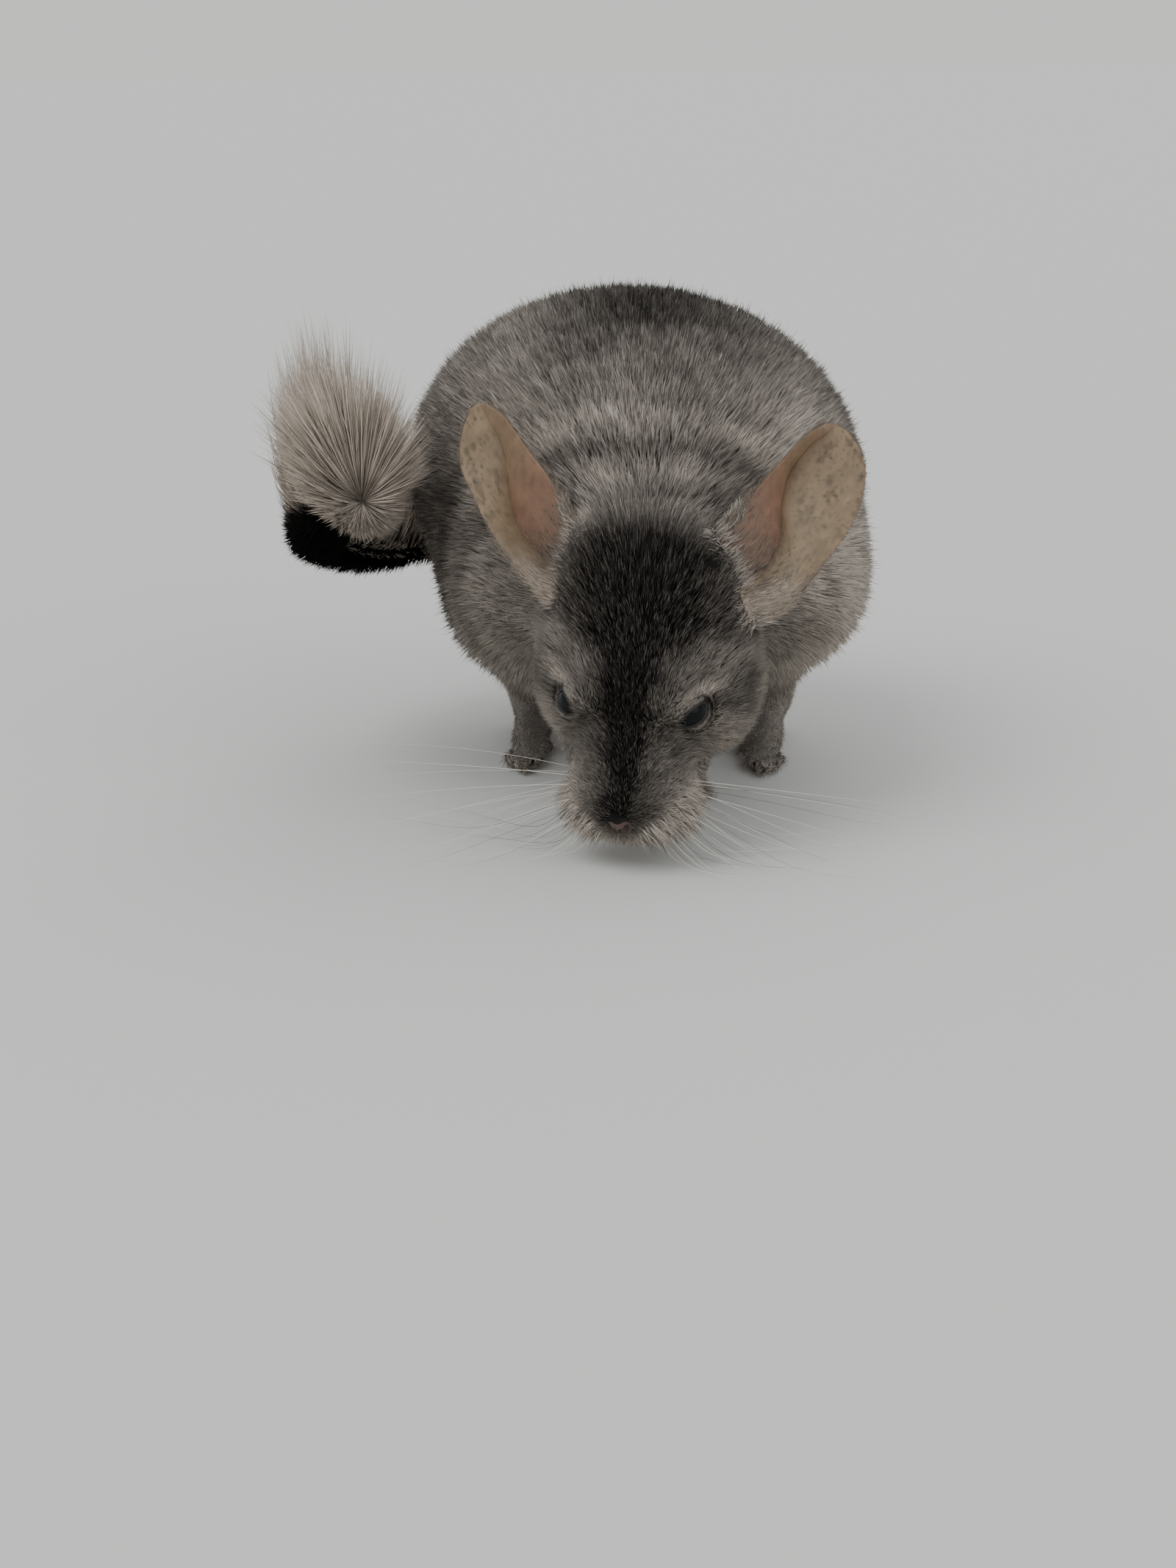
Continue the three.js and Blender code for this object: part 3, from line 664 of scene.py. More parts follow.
def zone_piece(zone):
    """The name of a zone's piece, and the centre and pole of its unwrap."""
    hand = "left" if zone % 2 else "right"
    if zone >= FACE:
        return f"coat_{'face' if zone < CROWN else 'crown'}_{hand}", HEAD_CENTRE, [0, 0, 1]
    if zone >= LEGS:
        return f"coat_legs_{hand}", np.array([0, 20, 25]), [0, 0, 1]
    return f"coat_body_{zone}", np.array([-4, 40, 88]), [0, 1, 0]


def build_coat():
    root, normal = scatter(density)
    way = unit(lie(root)) + 0.20 * sway(root, 16, 21)
    way = way + 0.22 * sway(root, 4.5, 24) + 0.14 * rng.normal(size=root.shape)
    keepers = (np.linalg.norm(root - on_head(NOSE_MIDDLE), axis=1) > NOSE_BARE) & (root[:, 2] > SOLE_BARE)
    flat = laid(way, normal)
    for side in EYES:
        for reach, margin in EYE_CLEAR:
            keepers &= ~over_opening(side, root + reach * unit(flat + 0.55 * normal), margin)
    root, normal, way, flat = root[keepers], normal[keepers], way[keepers], flat[keepers]
    count = len(root)
    q = in_head(root)
    h, g = head_share(root), leg_share(root)
    trunk = (1 - h) * (1 - g)
    # How steeply each tuft stands off the skin, in degrees, and how long it is to fill the coat's depth.
    low = ramp(-root[:, 2], -8, -3)
    stand = 47 - 8 * h + 13 * h * ramp(q[:, 1], -26, 6) - 9 * g * (1 - h) - 26 * low
    lift = np.radians(stand + 7 * rng.normal(size=count).clip(-2, 2) + 5 * waves(root, 9, 31) * trunk)
    guard = rng.random(count) < GUARD_SHARE
    fill = (coat_depth(root) + 0.6) / np.sin(np.radians(stand))
    length = fill * (1 + 0.16 * rng.normal(size=count).clip(-2, 2))
    length = np.minimum(length, LONGEST_TUFT) * (1 + 0.34 * guard * (1 - 0.6 * h))
    # The markings are read near the tufts' tips, so that they stay in place.
    rise = np.sin(lift)[:, None]
    reach = flat * np.sqrt(1 - rise**2) + normal * rise
    light = lightness(root + reach * (0.85 * length * trunk)[:, None], normal)
    pads = h * ramp(-q[:, 1], 24, 36) * ramp(-q[:, 2], 6, 14)
    length = length + 2.6 * pads
    width = (0.33 + 0.35 * trunk + 0.12 * g) * rng.uniform(0.75, 1.25, count) * (1 - 0.35 * guard)
    speck = (rng.random(count) < 0.38) * rng.uniform(0.12, 0.40, count) * h
    speck = speck * (1 - ramp(light, 0.15, 0.4)) * (1 - 0.35 * bump(q[:, 0], 0, 9))
    shade = np.clip(light + 0.09 * rng.normal(size=count) + speck, 0.0, 1.1)
    dark_tip = rng.random(count) < DARK_TIP_SHARE
    root_c = hair_colour(shade * np.where(dark_tip, 1.0, 0.55), 0.3)
    tip_c = hair_colour(np.where(dark_tip, shade * 0.55, shade * 1.2 + 0.02), 0.3)
    colours = np.stack([root_c, tip_c], 1)
    turn = np.arctan2(root[:, 0] + 4, root[:, 2] - 88) / (2 * math.pi) + 0.5
    sectors = np.floor(turn * SECTORS).astype(int)
    legs = LEGS + (root[:, 0] > 4)
    head = np.where(q[:, 1] > -14, CROWN, FACE) + (q[:, 0] > 0)
    zones = np.where(h > 0.5, head, np.where(g > 0.5, legs, sectors))
    for zone in np.unique(zones):
        own = zones == zone
        points, faces = tufts(root[own], normal[own], way[own], length[own], width[own], lift[own])
        name, centre, pole = zone_piece(zone)
        coat_piece(name, points, faces, colours[own], patch_uv(unwrap(root[own], centre, pole), 1))


build_coat()

FRINGE_LENGTH = (4.0, 8.5)
FRINGE_HALF_WIDTH = (0.07, 0.13)


def on_pads(p):
    """Fringe hairs in each square millimetre, on the whisker pads alone."""
    x, y, z = in_head(p).T
    return 3.4 * head_share(p) * ramp(-y, 27, 36) * ramp(-z, 3, 8) * ramp(np.abs(x), 3.5, 6)


def build_fringe():
    """Long pale hairs that fringe the whisker pads and hang from them to the floor."""
    root, normal = scatter(on_pads)
    count = len(root)
    x, y, _ = in_head(root).T
    sign = np.where(x > 0, 1.0, -1.0)
    way = np.stack([0.85 * sign, -0.35 + 0.02 * (y + 44), np.full(count, -0.75)], 1)
    way = unit((way + 0.20 * rng.normal(size=(count, 3))) @ HEAD_TURN.T)
    along = unit(way - 0.72 * normal * (way * normal).sum(1, keepdims=True) + 0.42 * normal)
    length = rng.uniform(*FRINGE_LENGTH, count)
    s = np.linspace(0, 1, 3)[None, :, None]
    sag = np.array([0, 0.05, -0.20])
    spines = (root - 0.3 * normal)[:, None] + (along[:, None] * s + sag * s**2) * length[:, None, None]
    side = unit(np.cross(normal, along))
    half = rng.uniform(*FRINGE_HALF_WIDTH, count)[:, None] * np.array([1.0, 0.7])
    points, faces = strands(spines, side, np.cross(along, side), half)
    pale = rng.random(count) < 0.74
    light = np.where(pale, rng.uniform(0.95, 1.2, count), rng.uniform(0.12, 0.35, count))
    colours = along_hair(light, 0.2, (0.8, 1.0, 1.05))
    coat_piece("pad_fringe", points, faces, colours, patch_uv(unwrap(root, HEAD_CENTRE, [0, 0, 1]), 2))


build_fringe()


BRUSH_EDGE = -113.5  # the brush's straight outer edge, which only loose tips pass


def build_brush(name, count, rings, under, cap_share, nodes=()):
    """Long hairs that stand up from the tail's core, black below, round a whorl at its tip.

    under makes the short black hair below, and cap_share is the share of hairs on the cap at the tip.
    """
    cap = rng.random(count) < cap_share
    t = np.where(cap, 1.0, 0.01 + 0.98 * rng.random(count) ** 0.8)
    where, way = curve(TAIL, t)
    aside = unit(np.cross(way, UPRIGHT))
    up = np.cross(aside, way)
    angle = np.pi + rng.uniform(-1.75, 1.75, count) if under else rng.uniform(-2.1, 2.1, count)
    angle = np.where(cap, rng.uniform(-math.pi, math.pi, count), angle)
    cosine, sine = np.cos(angle)[:, None], np.sin(angle)[:, None]
    radial = up * cosine + aside * sine
    polar = np.where(cap, rng.random(count) ** 0.6 * 1.45, math.pi / 2)[:, None]
    rise, outer, inner = np.maximum(cosine, 0), np.maximum(sine, 0), np.maximum(-sine, 0)
    grown = ramp(t, 0.10, 0.40)[:, None]
    round_core = radial * np.sin(polar) * (6.0 - 2.6 * t)[:, None]
    root = where + round_core + way * np.cos(polar) * 4.6 * cap[:, None]
    on_shaft = 8.5 + 34.5 * rise**0.75 * grown + 5.0 * outer * grown * (1 - rise)
    on_shaft = on_shaft * (1 - 0.25 * rise * ramp(-t, -0.45, -0.15)[:, None]) * (1 - 0.45 * inner * rise)
    on_cap = 9.8 + 28.7 * rise**0.8 + 7.5 * outer * ramp(cosine, -0.5, 0.2) + 3.0 * inner
    on_cap = on_cap * (1 - 0.38 * inner * rise)
    length = np.where(cap[:, None], on_cap, on_shaft) * rng.uniform(0.72, 1.12, (count, 1))
    shaft_way = radial * 0.75 + UPRIGHT * (1.5 * rise + 0.35 * (cosine > -0.4)) + way * (0.55 - 0.5 * rise)
    cap_way = radial + way * (0.18 + 0.35 * np.cos(polar))
    stream = unit(np.where(cap[:, None], cap_way, shaft_way))
    bend = np.where(cap[:, None], 0.10, 0.22) * UPRIGHT
    if under:
        length = (6.0 + 2.4 * grown + 6.0 * outer**2) * rng.uniform(0.85, 1.05, (count, 1))
        stream = unit(radial * 0.7 + way * 0.75)
        bend = 0 * bend
    stream = unit(stream + 0.05 * rng.normal(size=(count, 3)) + 0.09 * sway(where + radial * 6, 9, 41))
    wander = 0.06 * rng.normal(size=(count, 1, 3))
    steps = np.linspace(0, 1, rings + 1)
    s = steps[None, :, None]
    spines = root[:, None] + (stream[:, None] * s + bend[:, None] * s**2 + wander * s**2) * length[:, None]
    spines[..., 0] = np.maximum(spines[..., 0], BRUSH_EDGE + 0.12 * (spines[..., 0] - BRUSH_EDGE))
    side = unit(np.cross(stream, way + 0.01))
    width = rng.uniform(0.34, 0.62, count) * (1.25 if under else 1.0)
    half = width[:, None] / 2 * (1 - s[:, :-1, 0]) ** 0.5
    points, faces = strands(spines, side, unit(np.cross(stream, side)), half)
    black = np.ones(count) if under else ramp(-radial[:, 2] - 0.35 * (1 - t), 0.15, 0.5) * (1 - 0.9 * cap)
    below = ramp(outer[:, 0], 0.3, 0.75) * ramp(-cosine[:, 0], -0.1, 0.45)
    black = np.maximum(black, (1 - cap) * below)
    pale = 0.72 + 0.15 * rng.normal(size=count).clip(-2, 2) + 0.08 * waves(root, 8, 44)
    light = pale * (1 - black) + 0.02 * black
    tone = [0.60 + 0.40 * min(k * 3, 1) + 0.12 * k for k in steps]
    colours = along_hair(light, 0.6 * (1 - black), tone)
    place = np.stack([(angle / (2 * math.pi)) % 1.0, t - 0.3 * np.cos(polar[:, 0]) * cap], 1)
    uv = patch_uv(np.clip(place, 0.001, 0.99), rings)
    coat_piece(name, points, faces, colours, uv, "brush_coat", nodes)


build_brush("brush", 11000, 3, False, 0.34, ("tail_base", "tail_brush"))
build_brush("brush_underside", 7500, 2, True, 0.0)


# Ears: rows of points from the root to the tip, each from the inner edge over the crease to the outer edge.
EARS = {
    "left": [
        [[25, -59, 93], [31, -62, 79], [36, -70, 68]],
        [[31, -57, 98], [40, -57, 82.5], [46, -70, 73.5]],
        [[35.5, -54, 103], [44, -51, 89.5], [52.5, -65, 80]],
        [[40, -52, 108], [44, -47, 98], [60, -58, 88]],
        [[45, -49, 113], [46, -43.5, 107], [66, -51, 96.5]],
        [[49.5, -46, 117.5], [52, -41, 115], [68.5, -45, 106]],
        [[54, -43, 120.5], [57, -40, 118.5], [67.5, -42, 113]],
        [[57, -40, 121.5], [60, -39, 121], [63.5, -40, 119]],
    ],
    "right": [
        [[-15.5, -54, 93], [-17.5, -58, 81.5], [-20, -65, 71]],
        [[-18.5, -52, 99], [-26, -52, 84], [-28.5, -65, 79]],
        [[-22, -49, 104], [-33, -46, 90], [-36, -60, 86.5]],
        [[-26, -47, 109.5], [-36, -42, 97], [-42, -53, 93.5]],
        [[-30.5, -44, 114.5], [-37.5, -38.5, 106.5], [-47.5, -46, 102]],
        [[-34.5, -41, 119.5], [-39, -36, 114.5], [-51.5, -40, 110]],
        [[-38.5, -38, 124], [-42.5, -35, 121], [-51, -37, 118.5]],
        [[-43, -35, 126.5], [-46, -34, 127], [-48.5, -35, 125.5]],
    ],
}


EAR_CREASE = 0.38  # where the crease runs, as a share of the way across
EAR_GRID = (96, 60)  # steps along and across
EAR_LOBE, EAR_STRIP, EAR_WOOL = linear("#86735a"), linear("#82624e"), linear("#b3a493")
EAR_HAIRS = 9000
FLUFF_HAIRS = 1900


def ear_surface(side, u, v):
    """The middle of the ear's thickness: u runs from root to tip, v from the inner to the outer edge."""
    rows = np.array(EARS[side], float)
    inner, crease, outer = (curve(rows[:, c], u)[0] for c in range(3))
    t1 = np.clip(v / EAR_CREASE, 0, 1)[..., None]
    t2 = np.clip((v - EAR_CREASE) / (1 - EAR_CREASE), 0, 1)[..., None]
    strip = inner + (crease - inner) * np.sin(t1 * math.pi / 2)
    lobe = crease + (outer - crease) * t2
    surface = np.where(v[..., None] < EAR_CREASE, strip, lobe)
    surface[..., 1] -= np.where(v < EAR_CREASE, 0, np.sin(t2[..., 0] * math.pi) * (1 - u) * 2.2)
    return surface


def ear_colours(surface, u, v):
    """Grey-brown skin, warmer inside the crease, with painted shade along the crease itself, paler at the
    root, mottled and blotched.
    """
    mix = np.maximum(ramp(v, EAR_CREASE - 0.06, EAR_CREASE + 0.10), 0.8 * ramp(u, 0.35, 0.72))[..., None]
    colour = EAR_STRIP * (1 - mix) + EAR_LOBE * mix
    woolly = (ramp(-u, -0.30, -0.10) * ramp(v, 0.5, 0.75))[..., None]
    colour = colour * (1 - woolly) + EAR_WOOL * woolly
    # Painted shade in the valley along the crease, with less of it towards the tip.
    colour = colour * (1 - 0.16 * bump(v, EAR_CREASE, 0.05) * (1 - u * 0.5))[..., None]
    flat = surface.reshape(-1, 3)
    mottle = 0.10 * waves(flat, 5, 54) + 0.08 * waves(flat, 2.2, 55)
    blotch = np.clip(waves(flat, 7, 51) + 0.8 * waves(flat, 2.4, 52) - 0.30, 0, 0.7) * 0.52
    blotch += np.clip(waves(flat, 3.3, 56) * waves(flat, 1.9, 57) - 0.22, 0, 0.5) * 0.7
    spread = (0.30 + 0.70 * ramp(v, EAR_CREASE, EAR_CREASE + 0.2)) * ramp(u, 0.25, 0.55)
    colour = colour * (1 + mottle.reshape(u.shape) * ramp(u, 0.1, 0.3))[..., None]
    colour = colour * (1 - (blotch.reshape(u.shape) * spread)[..., None])
    colour = colour * (1 + 0.08 * waves(flat, 12, 53).reshape(u.shape))[..., None]
    colour = colour * (0.78 + 0.22 * ramp(u, 0.05, 0.4))[..., None]
    return colour.reshape(-1, 3)


def build_ear(side):
    along, across = EAR_GRID
    u, v = np.meshgrid(np.linspace(0, 1, along + 1), np.linspace(0, 1, across + 1), indexing="ij")
    surface = ear_surface(side, u, v)
    du = np.gradient(surface, axis=0)
    dv = np.gradient(surface, axis=1)
    normal = unit(np.cross(du, dv))
    normal[normal[..., 1] > 0] *= -1
    edge = np.minimum.reduce([v, 1 - v, 1 - u]) * 14
    half = (0.35 + 0.55 * (1 - u) ** 2) * np.clip(edge, 0.25, 1) ** 0.5
    front = surface + normal * half[..., None]
    back = surface - normal * half[..., None]
    idx = np.arange(u.size).reshape(u.shape)
    quads = np.stack([idx[:-1, :-1], idx[:-1, 1:], idx[1:, 1:], idx[1:, :-1]], -1).reshape(-1, 4)
    rim = np.concatenate([idx[0, :-1], idx[:-1, -1], idx[-1, :0:-1], idx[:0:-1, 0]])
    after = np.roll(rim, -1)
    skirt = np.stack([rim, rim + u.size, after + u.size, after], -1)
    faces = np.vstack([quads, quads[:, ::-1] + u.size, skirt])
    verts = np.vstack([front.reshape(-1, 3), back.reshape(-1, 3)])
    colour = ear_colours(surface, u, v)
    obj = mesh_object("ear_shell_" + side, row(verts), faces, EAR, np.vstack([colour, colour * 0.85]))
    face_outwards(obj)
    keep(obj, "ear_skin", "ear_" + side)
    build_ear_hair(side, front, back, normal, du, dv)


def build_ear_hair(side, front, back, normal, du, dv):
    """Fine pale hairs: dense at the root and the rims, sparse on the lobe, and a close coat on the back."""
    count = EAR_HAIRS
    a = rng.random(count) ** 1.5
    b = rng.random(count)
    rims = rng.random(count) < 0.30
    first = rng.random(count) < 0.5
    b = np.where(rims, np.where(first, rng.uniform(0, 0.03, count), rng.uniform(0.97, 1.0, count)), b)
    a = np.where(rims, rng.random(count), a)
    i, j = (a * EAR_GRID[0]).astype(int), (b * EAR_GRID[1]).astype(int)
    behind = rng.random(count) < 0.42
    place = np.where(behind[:, None], back[i, j], front[i, j])
    n = np.where(behind[:, None], -normal[i, j], normal[i, j])
    jitter = rng.uniform(-0.8, 0.8, (count, 3))
    place = place + jitter - n * (jitter * n).sum(1, keepdims=True)
    way = unit(du[i, j]) + 0.30 * unit(dv[i, j]) * np.where(b < 0.5, -1, 1)[:, None]
    way = way + 0.12 * rng.normal(size=(count, 3))
    near = 1 - ramp(a, 0.02, 0.50)
    length = 1.1 + 4.2 * near * rng.uniform(0.4, 1, count)
    light = 0.52 + 0.24 * near * ramp(b, 0.45, 0.8) + 0.10 * rng.normal(size=count)
    tone = hair_colour(light, 0.9)
    lift = np.radians(rng.uniform(7, 20, count))
    points, faces = tufts(place, n, way, length, 0.13 + 0.17 * near, lift)
    spots = np.clip(np.stack([b * 0.48 + behind * 0.5, a], 1), 0.001, 0.99)
    colours = np.stack([tone * 0.8, tone * 1.05], 1)
    coat_piece("ear_hair_" + side, points, faces, colours, patch_uv(spots, 1))


for ear in EARS:
    build_ear(ear)


def build_ear_fluff(side):
    """Pale fluff out of the coat round the ear's root, over its lower edge and up its inner edge."""
    rows = np.array(EARS[side], float)
    count = FLUFF_HAIRS
    v = rng.random(count)
    inner = rng.random(count) < 0.35
    u = np.where(inner, 0.17 * rng.random(count), 0.05 * rng.random(count))
    v = np.where(inner, 0.06 * rng.random(count), v)
    edge = [curve(rows[:, c], u)[0] for c in range(3)]
    up = unit(curve(rows[:, 1], u + 0.1)[0] - edge[1])
    across = unit(edge[2] - edge[0])
    strip = edge[0] + (edge[1] - edge[0]) * v[:, None] / EAR_CREASE
    lobe = edge[1] + (edge[2] - edge[1]) * (v[:, None] - EAR_CREASE) / (1 - EAR_CREASE)
    flat = np.where(v[:, None] < EAR_CREASE, strip, lobe)
    ahead = unit(np.cross(up, across))
    ahead[ahead[:, 1] > 0] *= -1
    root = flat - up * np.where(inner, 0.0, 2.2)[:, None] + rng.uniform(-0.9, 0.9, (count, 3))
    down = (rng.random(count) < 0.35) & ~inner
    way = up * np.where(down, -0.7, 0.9)[:, None] + ahead * np.where(inner, 0.25, 0.62)[:, None]
    way = way - across * np.where(inner, 0.45, 0.0)[:, None]
    way = way + across * (np.where(inner, 0.0, 0.55) * (v - 0.4))[:, None]
    way = unit(way + 0.22 * rng.normal(size=(count, 3)))
    length = np.where(inner, rng.uniform(3.0, 6.0, count), rng.uniform(4.0, 7.5, count))
    s = np.linspace(0, 1, 3)[None, :, None]
    spines = root[:, None] + (way[:, None] * s - ahead[:, None] * 0.18 * s**2) * length[:, None, None]
    cross = unit(np.cross(ahead, way))
    half = rng.uniform(0.08, 0.16, count)[:, None] * np.array([1.0, 0.75])
    points, faces = strands(spines, cross, np.cross(way, cross), half)
    light = 0.80 + 0.12 * rng.normal(size=count)
    colours = along_hair(light, 0.3, (0.75, 0.95, 1.05))
    spots = np.clip(np.stack([0.1 + 0.4 * v, 0.1 + u], 1), 0.001, 0.99)
    coat_piece("ear_fluff_" + side, points, faces, colours, patch_uv(spots, 2))


for ear in EARS:
    build_ear_fluff(ear)


LID_STEPS = 56  # round the opening
# The lids' shell from its inside over the rim and back round the ball: radius, and angle beyond the rim.
LID_RIM = ((5.7, 0.03), (6.1, -0.01), (6.2, 0.02), (LID_RADIUS, 0.09))
LID_PROFILE = (*LID_RIM, (LID_RADIUS, 0.3), (5.6, 0.6), (4.6, 0.9))
LID_HAIRS = 2600
LID_CLEAR = ((0, 0.25), (0.5, 0.1), (1.0, 0.1))  # as EYE_CLEAR, in shares of a hair's length


def build_eye(side):
    """The ball, and hooded lids with short fur on them."""
    centre = EYES[side]
    place = Matrix.Translation(row(centre))
    bm = bmesh.new()
    bmesh.ops.create_uvsphere(bm, u_segments=48, v_segments=32, radius=EYE_RADIUS * MM, matrix=place)
    keep(from_bmesh("eyeball_" + side, bm, EYE), "eye", "eye_" + side)
    angle = np.linspace(0, 2 * math.pi, LID_STEPS, endpoint=False)
    rings = [centre + round_opening(side, angle, extra)[0] * radius for radius, extra in LID_PROFILE]
    verts = np.vstack(rings)
    idx = np.arange(len(verts)).reshape(len(LID_PROFILE), LID_STEPS)
    after = np.roll(idx, -1, 1)
    faces = np.stack([idx[:-1], after[:-1], after[1:], idx[1:]], -1).reshape(-1, 4)
    lid = mesh_object("lids_" + side, row(verts), faces, LID)
    face_outwards(lid)
    keep(lid, "grey_coat")
    build_lid_fur(side)


def build_lid_fur(side):
    """Short fur on the lids, from the rim of the opening outwards."""
    angle = rng.uniform(0, 2 * math.pi, LID_HAIRS)
    beyond = rng.uniform(0.05, 1.15, LID_HAIRS)
    normal, away = round_opening(side, angle, beyond)
    root = EYES[side] + normal * (LID_RADIUS - 0.1 - 1.6 * ramp(beyond, 0.25, 1.0)[:, None])
    way = unit(lie(root)) + 0.5 * away + 0.15 * rng.normal(size=(LID_HAIRS, 3))
    flat = laid(way, normal)
    length = rng.uniform(1.4, 2.3, LID_HAIRS)
    clear = np.ones(LID_HAIRS, bool)
    for reach, margin in LID_CLEAR:
        clear &= ~over_opening(side, root + reach * length[:, None] * unit(flat + 0.4 * normal), margin)
    rim = ((beyond < 0.15) & (np.sin(angle) < 0.3))[clear]
    root, normal, way, length = root[clear], normal[clear], way[clear], length[clear]
    count = len(root)
    shade = np.clip((lightness(root, normal) + 0.09 * rng.normal(size=count)) * (1 - 0.6 * rim), 0, 1.1)
    colours = along_hair(shade, 0.3, (0.7, 1.15))
    lift = np.radians(rng.uniform(14, 30, count))
    width = rng.uniform(0.22, 0.36, count)
    points, faces = tufts(root, normal, way, length, width, lift)
    uv = patch_uv(unwrap(root, HEAD_CENTRE, [0, 0, 1]), 1)
    coat_piece("lid_fur_" + side, points, faces, colours, uv)


for eye in EYES:
    build_eye(eye)

NOSE_PAD = [0, -47.6, -5.4]  # the pad's middle in the head's frame
NOSE_HALF = [4.6, 3.5, 3.2]
NOSTRIL_RADIUS = 0.85


def build_nose():
    """The nose pad: two comma-shaped nostrils and a cleft between them, pressed in and painted near black as
    painted shade.
    """
    bm = bmesh.new()
    bmesh.ops.create_icosphere(bm, subdivisions=6, radius=1.0)
    p = np.array([v.co for v in bm.verts]) * np.array(NOSE_HALF)
    dark = np.zeros(len(p))
    for side in (-1, 1):
        for step in np.linspace(0, 1, 5):
            hole = np.array([side * (1.1 + 1.5 * step), -3.2 + 0.6 * step, 0.7 - 1.3 * step + 1.9 * step**2])
            gap = np.linalg.norm((p - hole) * np.array([1.0, 0.5, 1.0]), axis=1)
            dark = np.maximum(dark, bump(gap, 0, NOSTRIL_RADIUS))
    cleft = bump(p[:, 0], 0, 0.42) * ramp(-p[:, 2], -0.6, 0.4) * ramp(-p[:, 1], 1.0, 2.4)
    p[:, 1] += 1.5 * dark + 0.9 * cleft
    p[:, 2] -= 0.9 * bump(p[:, 0], 0, 1.6) * ramp(p[:, 2], 1.0, 3.0)
    for v, place in zip(bm.verts, row(on_head(np.array(NOSE_PAD) + p))):
        v.co = place
    obj = from_bmesh("nose", bm, NOSE_SKIN)
    # Painted shade: the nostrils and the cleft are painted near black for the shade in their hollows.
    recess_shade = np.clip(dark * 1.1 + cleft * 0.8, 0, 0.93)[:, None]
    colour = linear("#54443f") * (1 - recess_shade) + linear("#0d0908") * recess_shade
    tint(obj.data, colour * (1 + 0.10 * waves(p, 1.6, 61))[:, None])
    keep(obj, "foot_skin")


build_nose()


WHISKERS, WHISKER_ROW = 30, 6  # on each side, and in each row
WHISKER_ROOM = 9  # how far whiskers may reach past the solids
WHISKER_FLOOR = 0.8  # their least height
WHISKER_EASE = 40  # how gently they near it, in square millimetres
PALE_WHISKER, DARK_WHISKER = linear("#efe8dc"), linear("#4a4038")


def rods(name, paths, radii, surface, slot, tones=None, sides=5):
    """Tapered curved rods, for whiskers and claws."""
    verts, faces, ends, shade = [], [], [], []
    for path, radius, tone in zip(paths, radii, tones if tones is not None else [None] * len(paths)):
        way = unit(np.gradient(path, axis=0))
        side = unit(np.cross(way, [0.13, 0.2, 0.97]))
        up = np.cross(side, way)
        start = len(verts)
        steps = len(path)
        for k in range(steps):
            r = radius * max(1 - k / (steps - 1), 0.04) ** 0.7
            for j in range(sides):
                a = 2 * math.pi * j / sides
                verts.append(path[k] + (side[k] * math.cos(a) + up[k] * math.sin(a)) * r)
                shade.append(tone)
        for k in range(steps - 1):
            for j in range(sides):
                a, b = start + k * sides + j, start + k * sides + (j + 1) % sides
                faces.append((a, b, b + sides, a + sides))
        ends.append([start + j for j in range(sides)][::-1])
        ends.append([start + (steps - 1) * sides + j for j in range(sides)])
    triangles = [(a, b, c) for a, b, c, d in faces] + [(a, c, d) for a, b, c, d in faces]
    triangles += [(end[0], end[j], end[j + 1]) for end in ends for j in range(1, sides - 1)]
    colours = np.array(shade) if tones is not None else None
    keep(mesh_object(name, row(np.array(verts)), triangles, surface, colours), slot)


def build_whiskers():
    paths, radii, tones = [], [], []
    low = plan(np.array(cad_box[0])) - WHISKER_ROOM
    high = plan(np.array(cad_box[1])) + WHISKER_ROOM
    for side in (-1, 1):
        for k in range(WHISKERS):
            tier, file = divmod(k, WHISKER_ROW)
            root = on_head([side * (7.0 + 1.5 * file), -42.5 + 2.3 * file, -8.5 - 2.0 * tier])
            forward = -0.75 + 0.20 * file + 0.10 * rng.normal()
            rise = 0.05 - 0.26 * tier + 0.10 * rng.normal()
            way = HEAD_TURN @ unit([side * 1.0, forward - 0.12 * tier, rise])
            length = rng.uniform(60, 110) * (0.55 + 0.09 * file)
            steps = np.linspace(0, 1, 20)[:, None]
            droop = np.array([0, 0.10, -0.12]) + 0.05 * rng.normal(size=3)
            path = root + way * length * steps + droop * length * steps**2
            # A whisker that would leave the room it has is made shorter, and one near the floor bends up.
            away = path - root
            room = np.where(away > 0, high - root, low - root)
            with np.errstate(divide="ignore"):
                fits = np.min(np.where(np.abs(away) > 0.1, room / away, 9)[:, :2])
            path = root + away * min(fits, 1)
            clear = path[:, 2] - WHISKER_FLOOR
            path[:, 2] = WHISKER_FLOOR + 0.5 * (clear + np.sqrt(clear**2 + WHISKER_EASE))
            paths.append(path)
            radii.append(rng.uniform(0.05, 0.085))
            tones.append(PALE_WHISKER if rng.random() < 0.62 else DARK_WHISKER)
    rods("whiskers", paths, radii, WHISKER, "brush_coat", tones)


build_whiskers()

# Each toe's place across and along the plan, its turn in degrees and its length, as in the solids.
HIND_TOES = [[35.5, 13, 8, 7], [40, 11, -1, 9], [44.5, 13, -9, 7], [33.5, 24, 16, 4]]
FORE_TOES = [[11.5, -29, 14, 3], [14.8, -31, 4, 4], [18.2, -31, -6, 4], [21, -29, -18, 3]]
# Each kind of foot's toes, their radius and the claw's length.
FEET = ((HIND_TOES, 2.7, 2.5), (FORE_TOES, 1.9, 2.2))


def build_claws():
    paths, radii = [], []
    for side in (-1, 1):
        for toes, radius, claw in FEET:
            for x, y, turn, length in toes:
                a = math.radians(turn * side)
                way = np.array([math.sin(a), -math.cos(a), 0])
                tip = np.array([x * side, y, radius * 1.05]) + way * (length + radius * 0.7)
                steps = np.linspace(0, 1, 6)[:, None]
                paths.append(tip + way * (claw + 0.4) * steps + np.array([0, 0, -radius * 0.5]) * steps**2)
                radii.append(radius * 0.34)
    rods("claws", paths, radii, CLAW, "foot_skin", sides=8)


build_claws()


FLOOR_RADIUS = 60.0  # metres
LOOK_AT = Vector((0, 0, 0.07))
SKY_POWER = 0.82
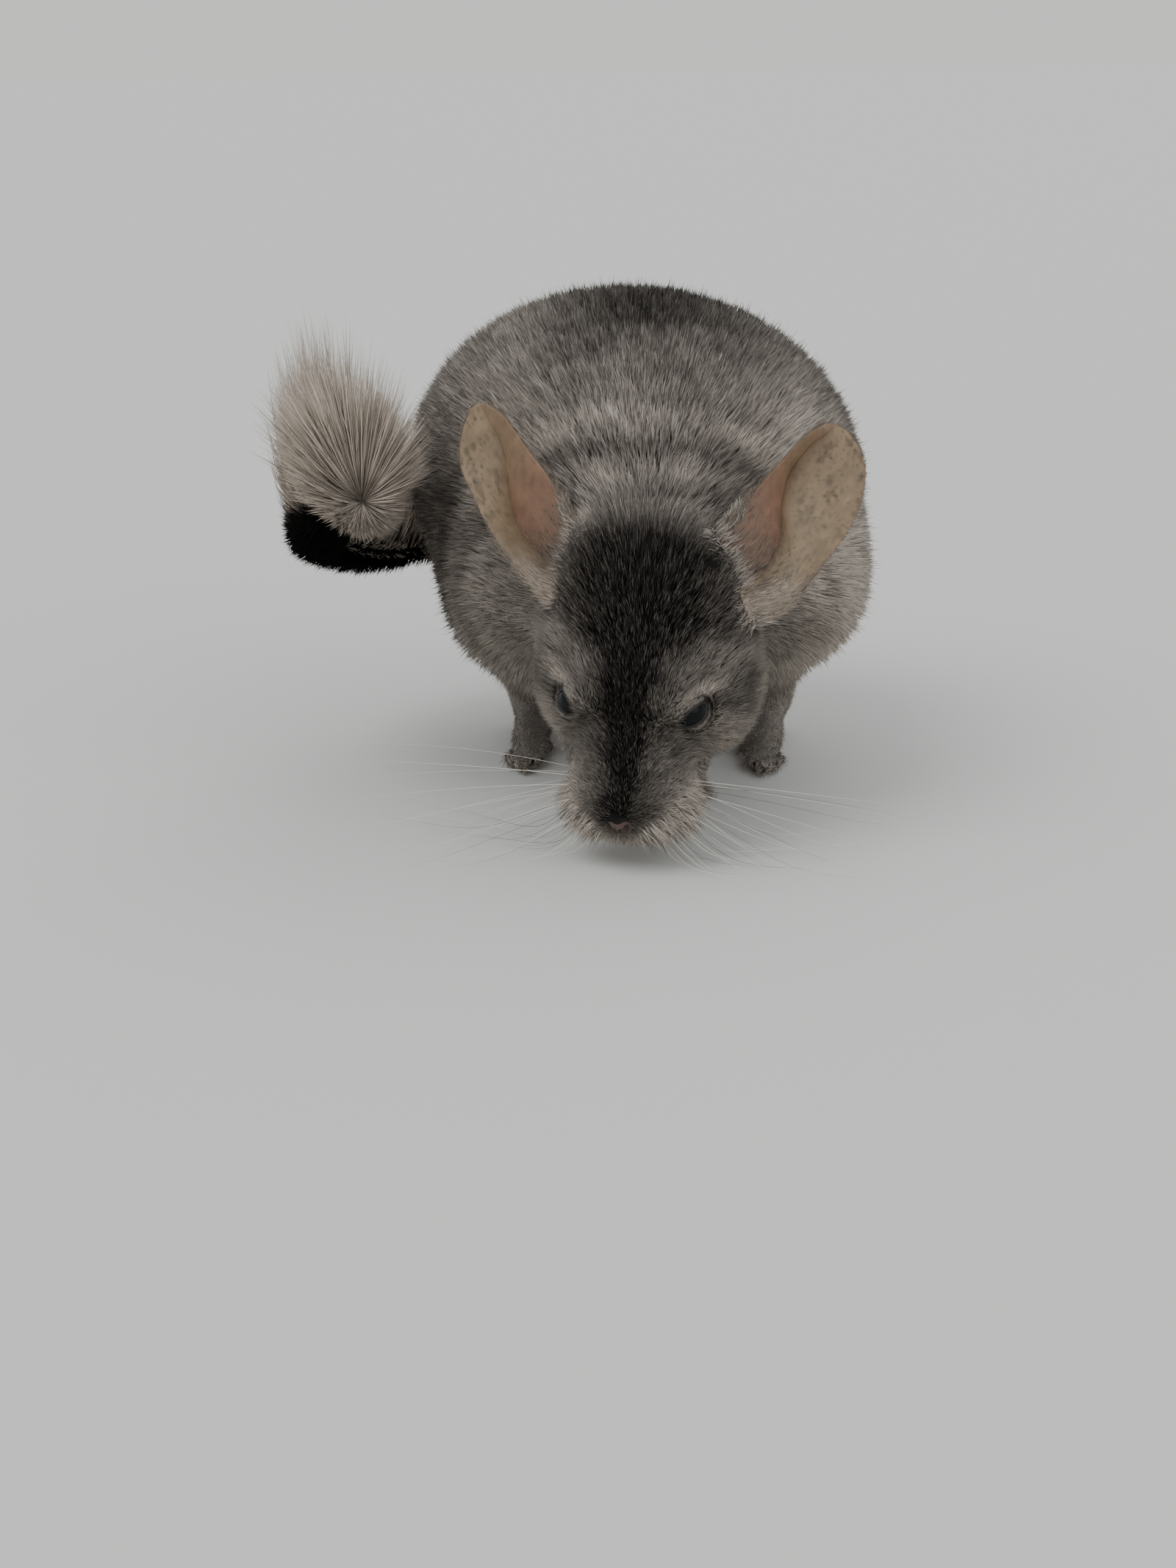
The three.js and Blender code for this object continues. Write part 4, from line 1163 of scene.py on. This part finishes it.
# The backdrop has the floor's tone where the two meet and is a little darker overhead: colours and heights.
HORIZON = ("#fbfbf9", 0.04)
OVERHEAD = ("#e6e9ec", 0.45)
# Each lamp's name, the way it stands from the model, its strength and how wide it looks in degrees.
LAMPS = (
    ("key", (-0.7, -0.5, 1.3), 0.96, 40),
    ("fill", (0.9, -0.9, 0.8), 0.54, 50),
    ("rim", (0.2, 1.0, 1.1), 0.38, 40),
)


def build_stage():
    """The floor, the sky and the lamps."""
    bm = bmesh.new()
    bmesh.ops.create_circle(bm, cap_ends=True, segments=96, radius=FLOOR_RADIUS)
    # Matt board is pale and even, with no shine.
    from_bmesh("floor", bm, material("pale matt board", 0.9, "#dcdcd8"))
    world = bpy.context.scene.world or bpy.data.worlds.new("studio")
    bpy.context.scene.world = world
    world.use_nodes = True
    tree = world.node_tree
    sky = tree.nodes["Background"]
    sky.inputs["Strength"].default_value = SKY_POWER
    place = node(tree, "ShaderNodeTexCoord")
    height = node(tree, "ShaderNodeSeparateXYZ", {"Vector": place.outputs["Generated"]})
    rise = node(tree, "ShaderNodeValToRGB", {"Fac": height.outputs["Z"]})
    for stop, (code, at) in zip(rise.color_ramp.elements, (HORIZON, OVERHEAD)):
        stop.position, stop.color = at, (*linear(code), 1)
    tree.links.new(rise.outputs["Color"], sky.inputs["Color"])
    for name, place, power, size in LAMPS:
        light = bpy.data.lights.new(name, "SUN")
        light.energy = power
        light.angle = math.radians(size)
        lamp = placed(name, light)
        lamp.location = place
        lamp.rotation_euler = (LOOK_AT - Vector(place)).to_track_quat("-Z", "Y").to_euler()


build_stage()

CAMERA_PLACE = [40.3, -698.1, 222.9]
YAW, PITCH, ROLL = -4.777, 17.891, -0.897  # degrees
LENS, SENSOR = 51.23, 36


def build_camera():
    """The camera stands where the photograph's did."""
    yaw, pitch, roll = (math.radians(a) for a in (YAW, PITCH, ROLL))
    forward = Vector((math.sin(yaw) * math.cos(pitch), math.cos(yaw) * math.cos(pitch), -math.sin(pitch)))
    right = Vector((math.cos(yaw), -math.sin(yaw), 0))
    up = right.cross(forward)
    turned_right = math.cos(roll) * right + math.sin(roll) * up
    turned_up = -math.sin(roll) * right + math.cos(roll) * up
    lens = bpy.data.cameras.new("camera")
    lens.lens = LENS
    lens.sensor_width = SENSOR
    lens.clip_start = 0.01
    obj = placed("camera", lens)
    turn = Matrix((turned_right, turned_up, -forward)).transposed().to_4x4()
    obj.matrix_world = Matrix.Translation(row(CAMERA_PLACE)) @ turn
    bpy.context.scene.camera = obj


build_camera()
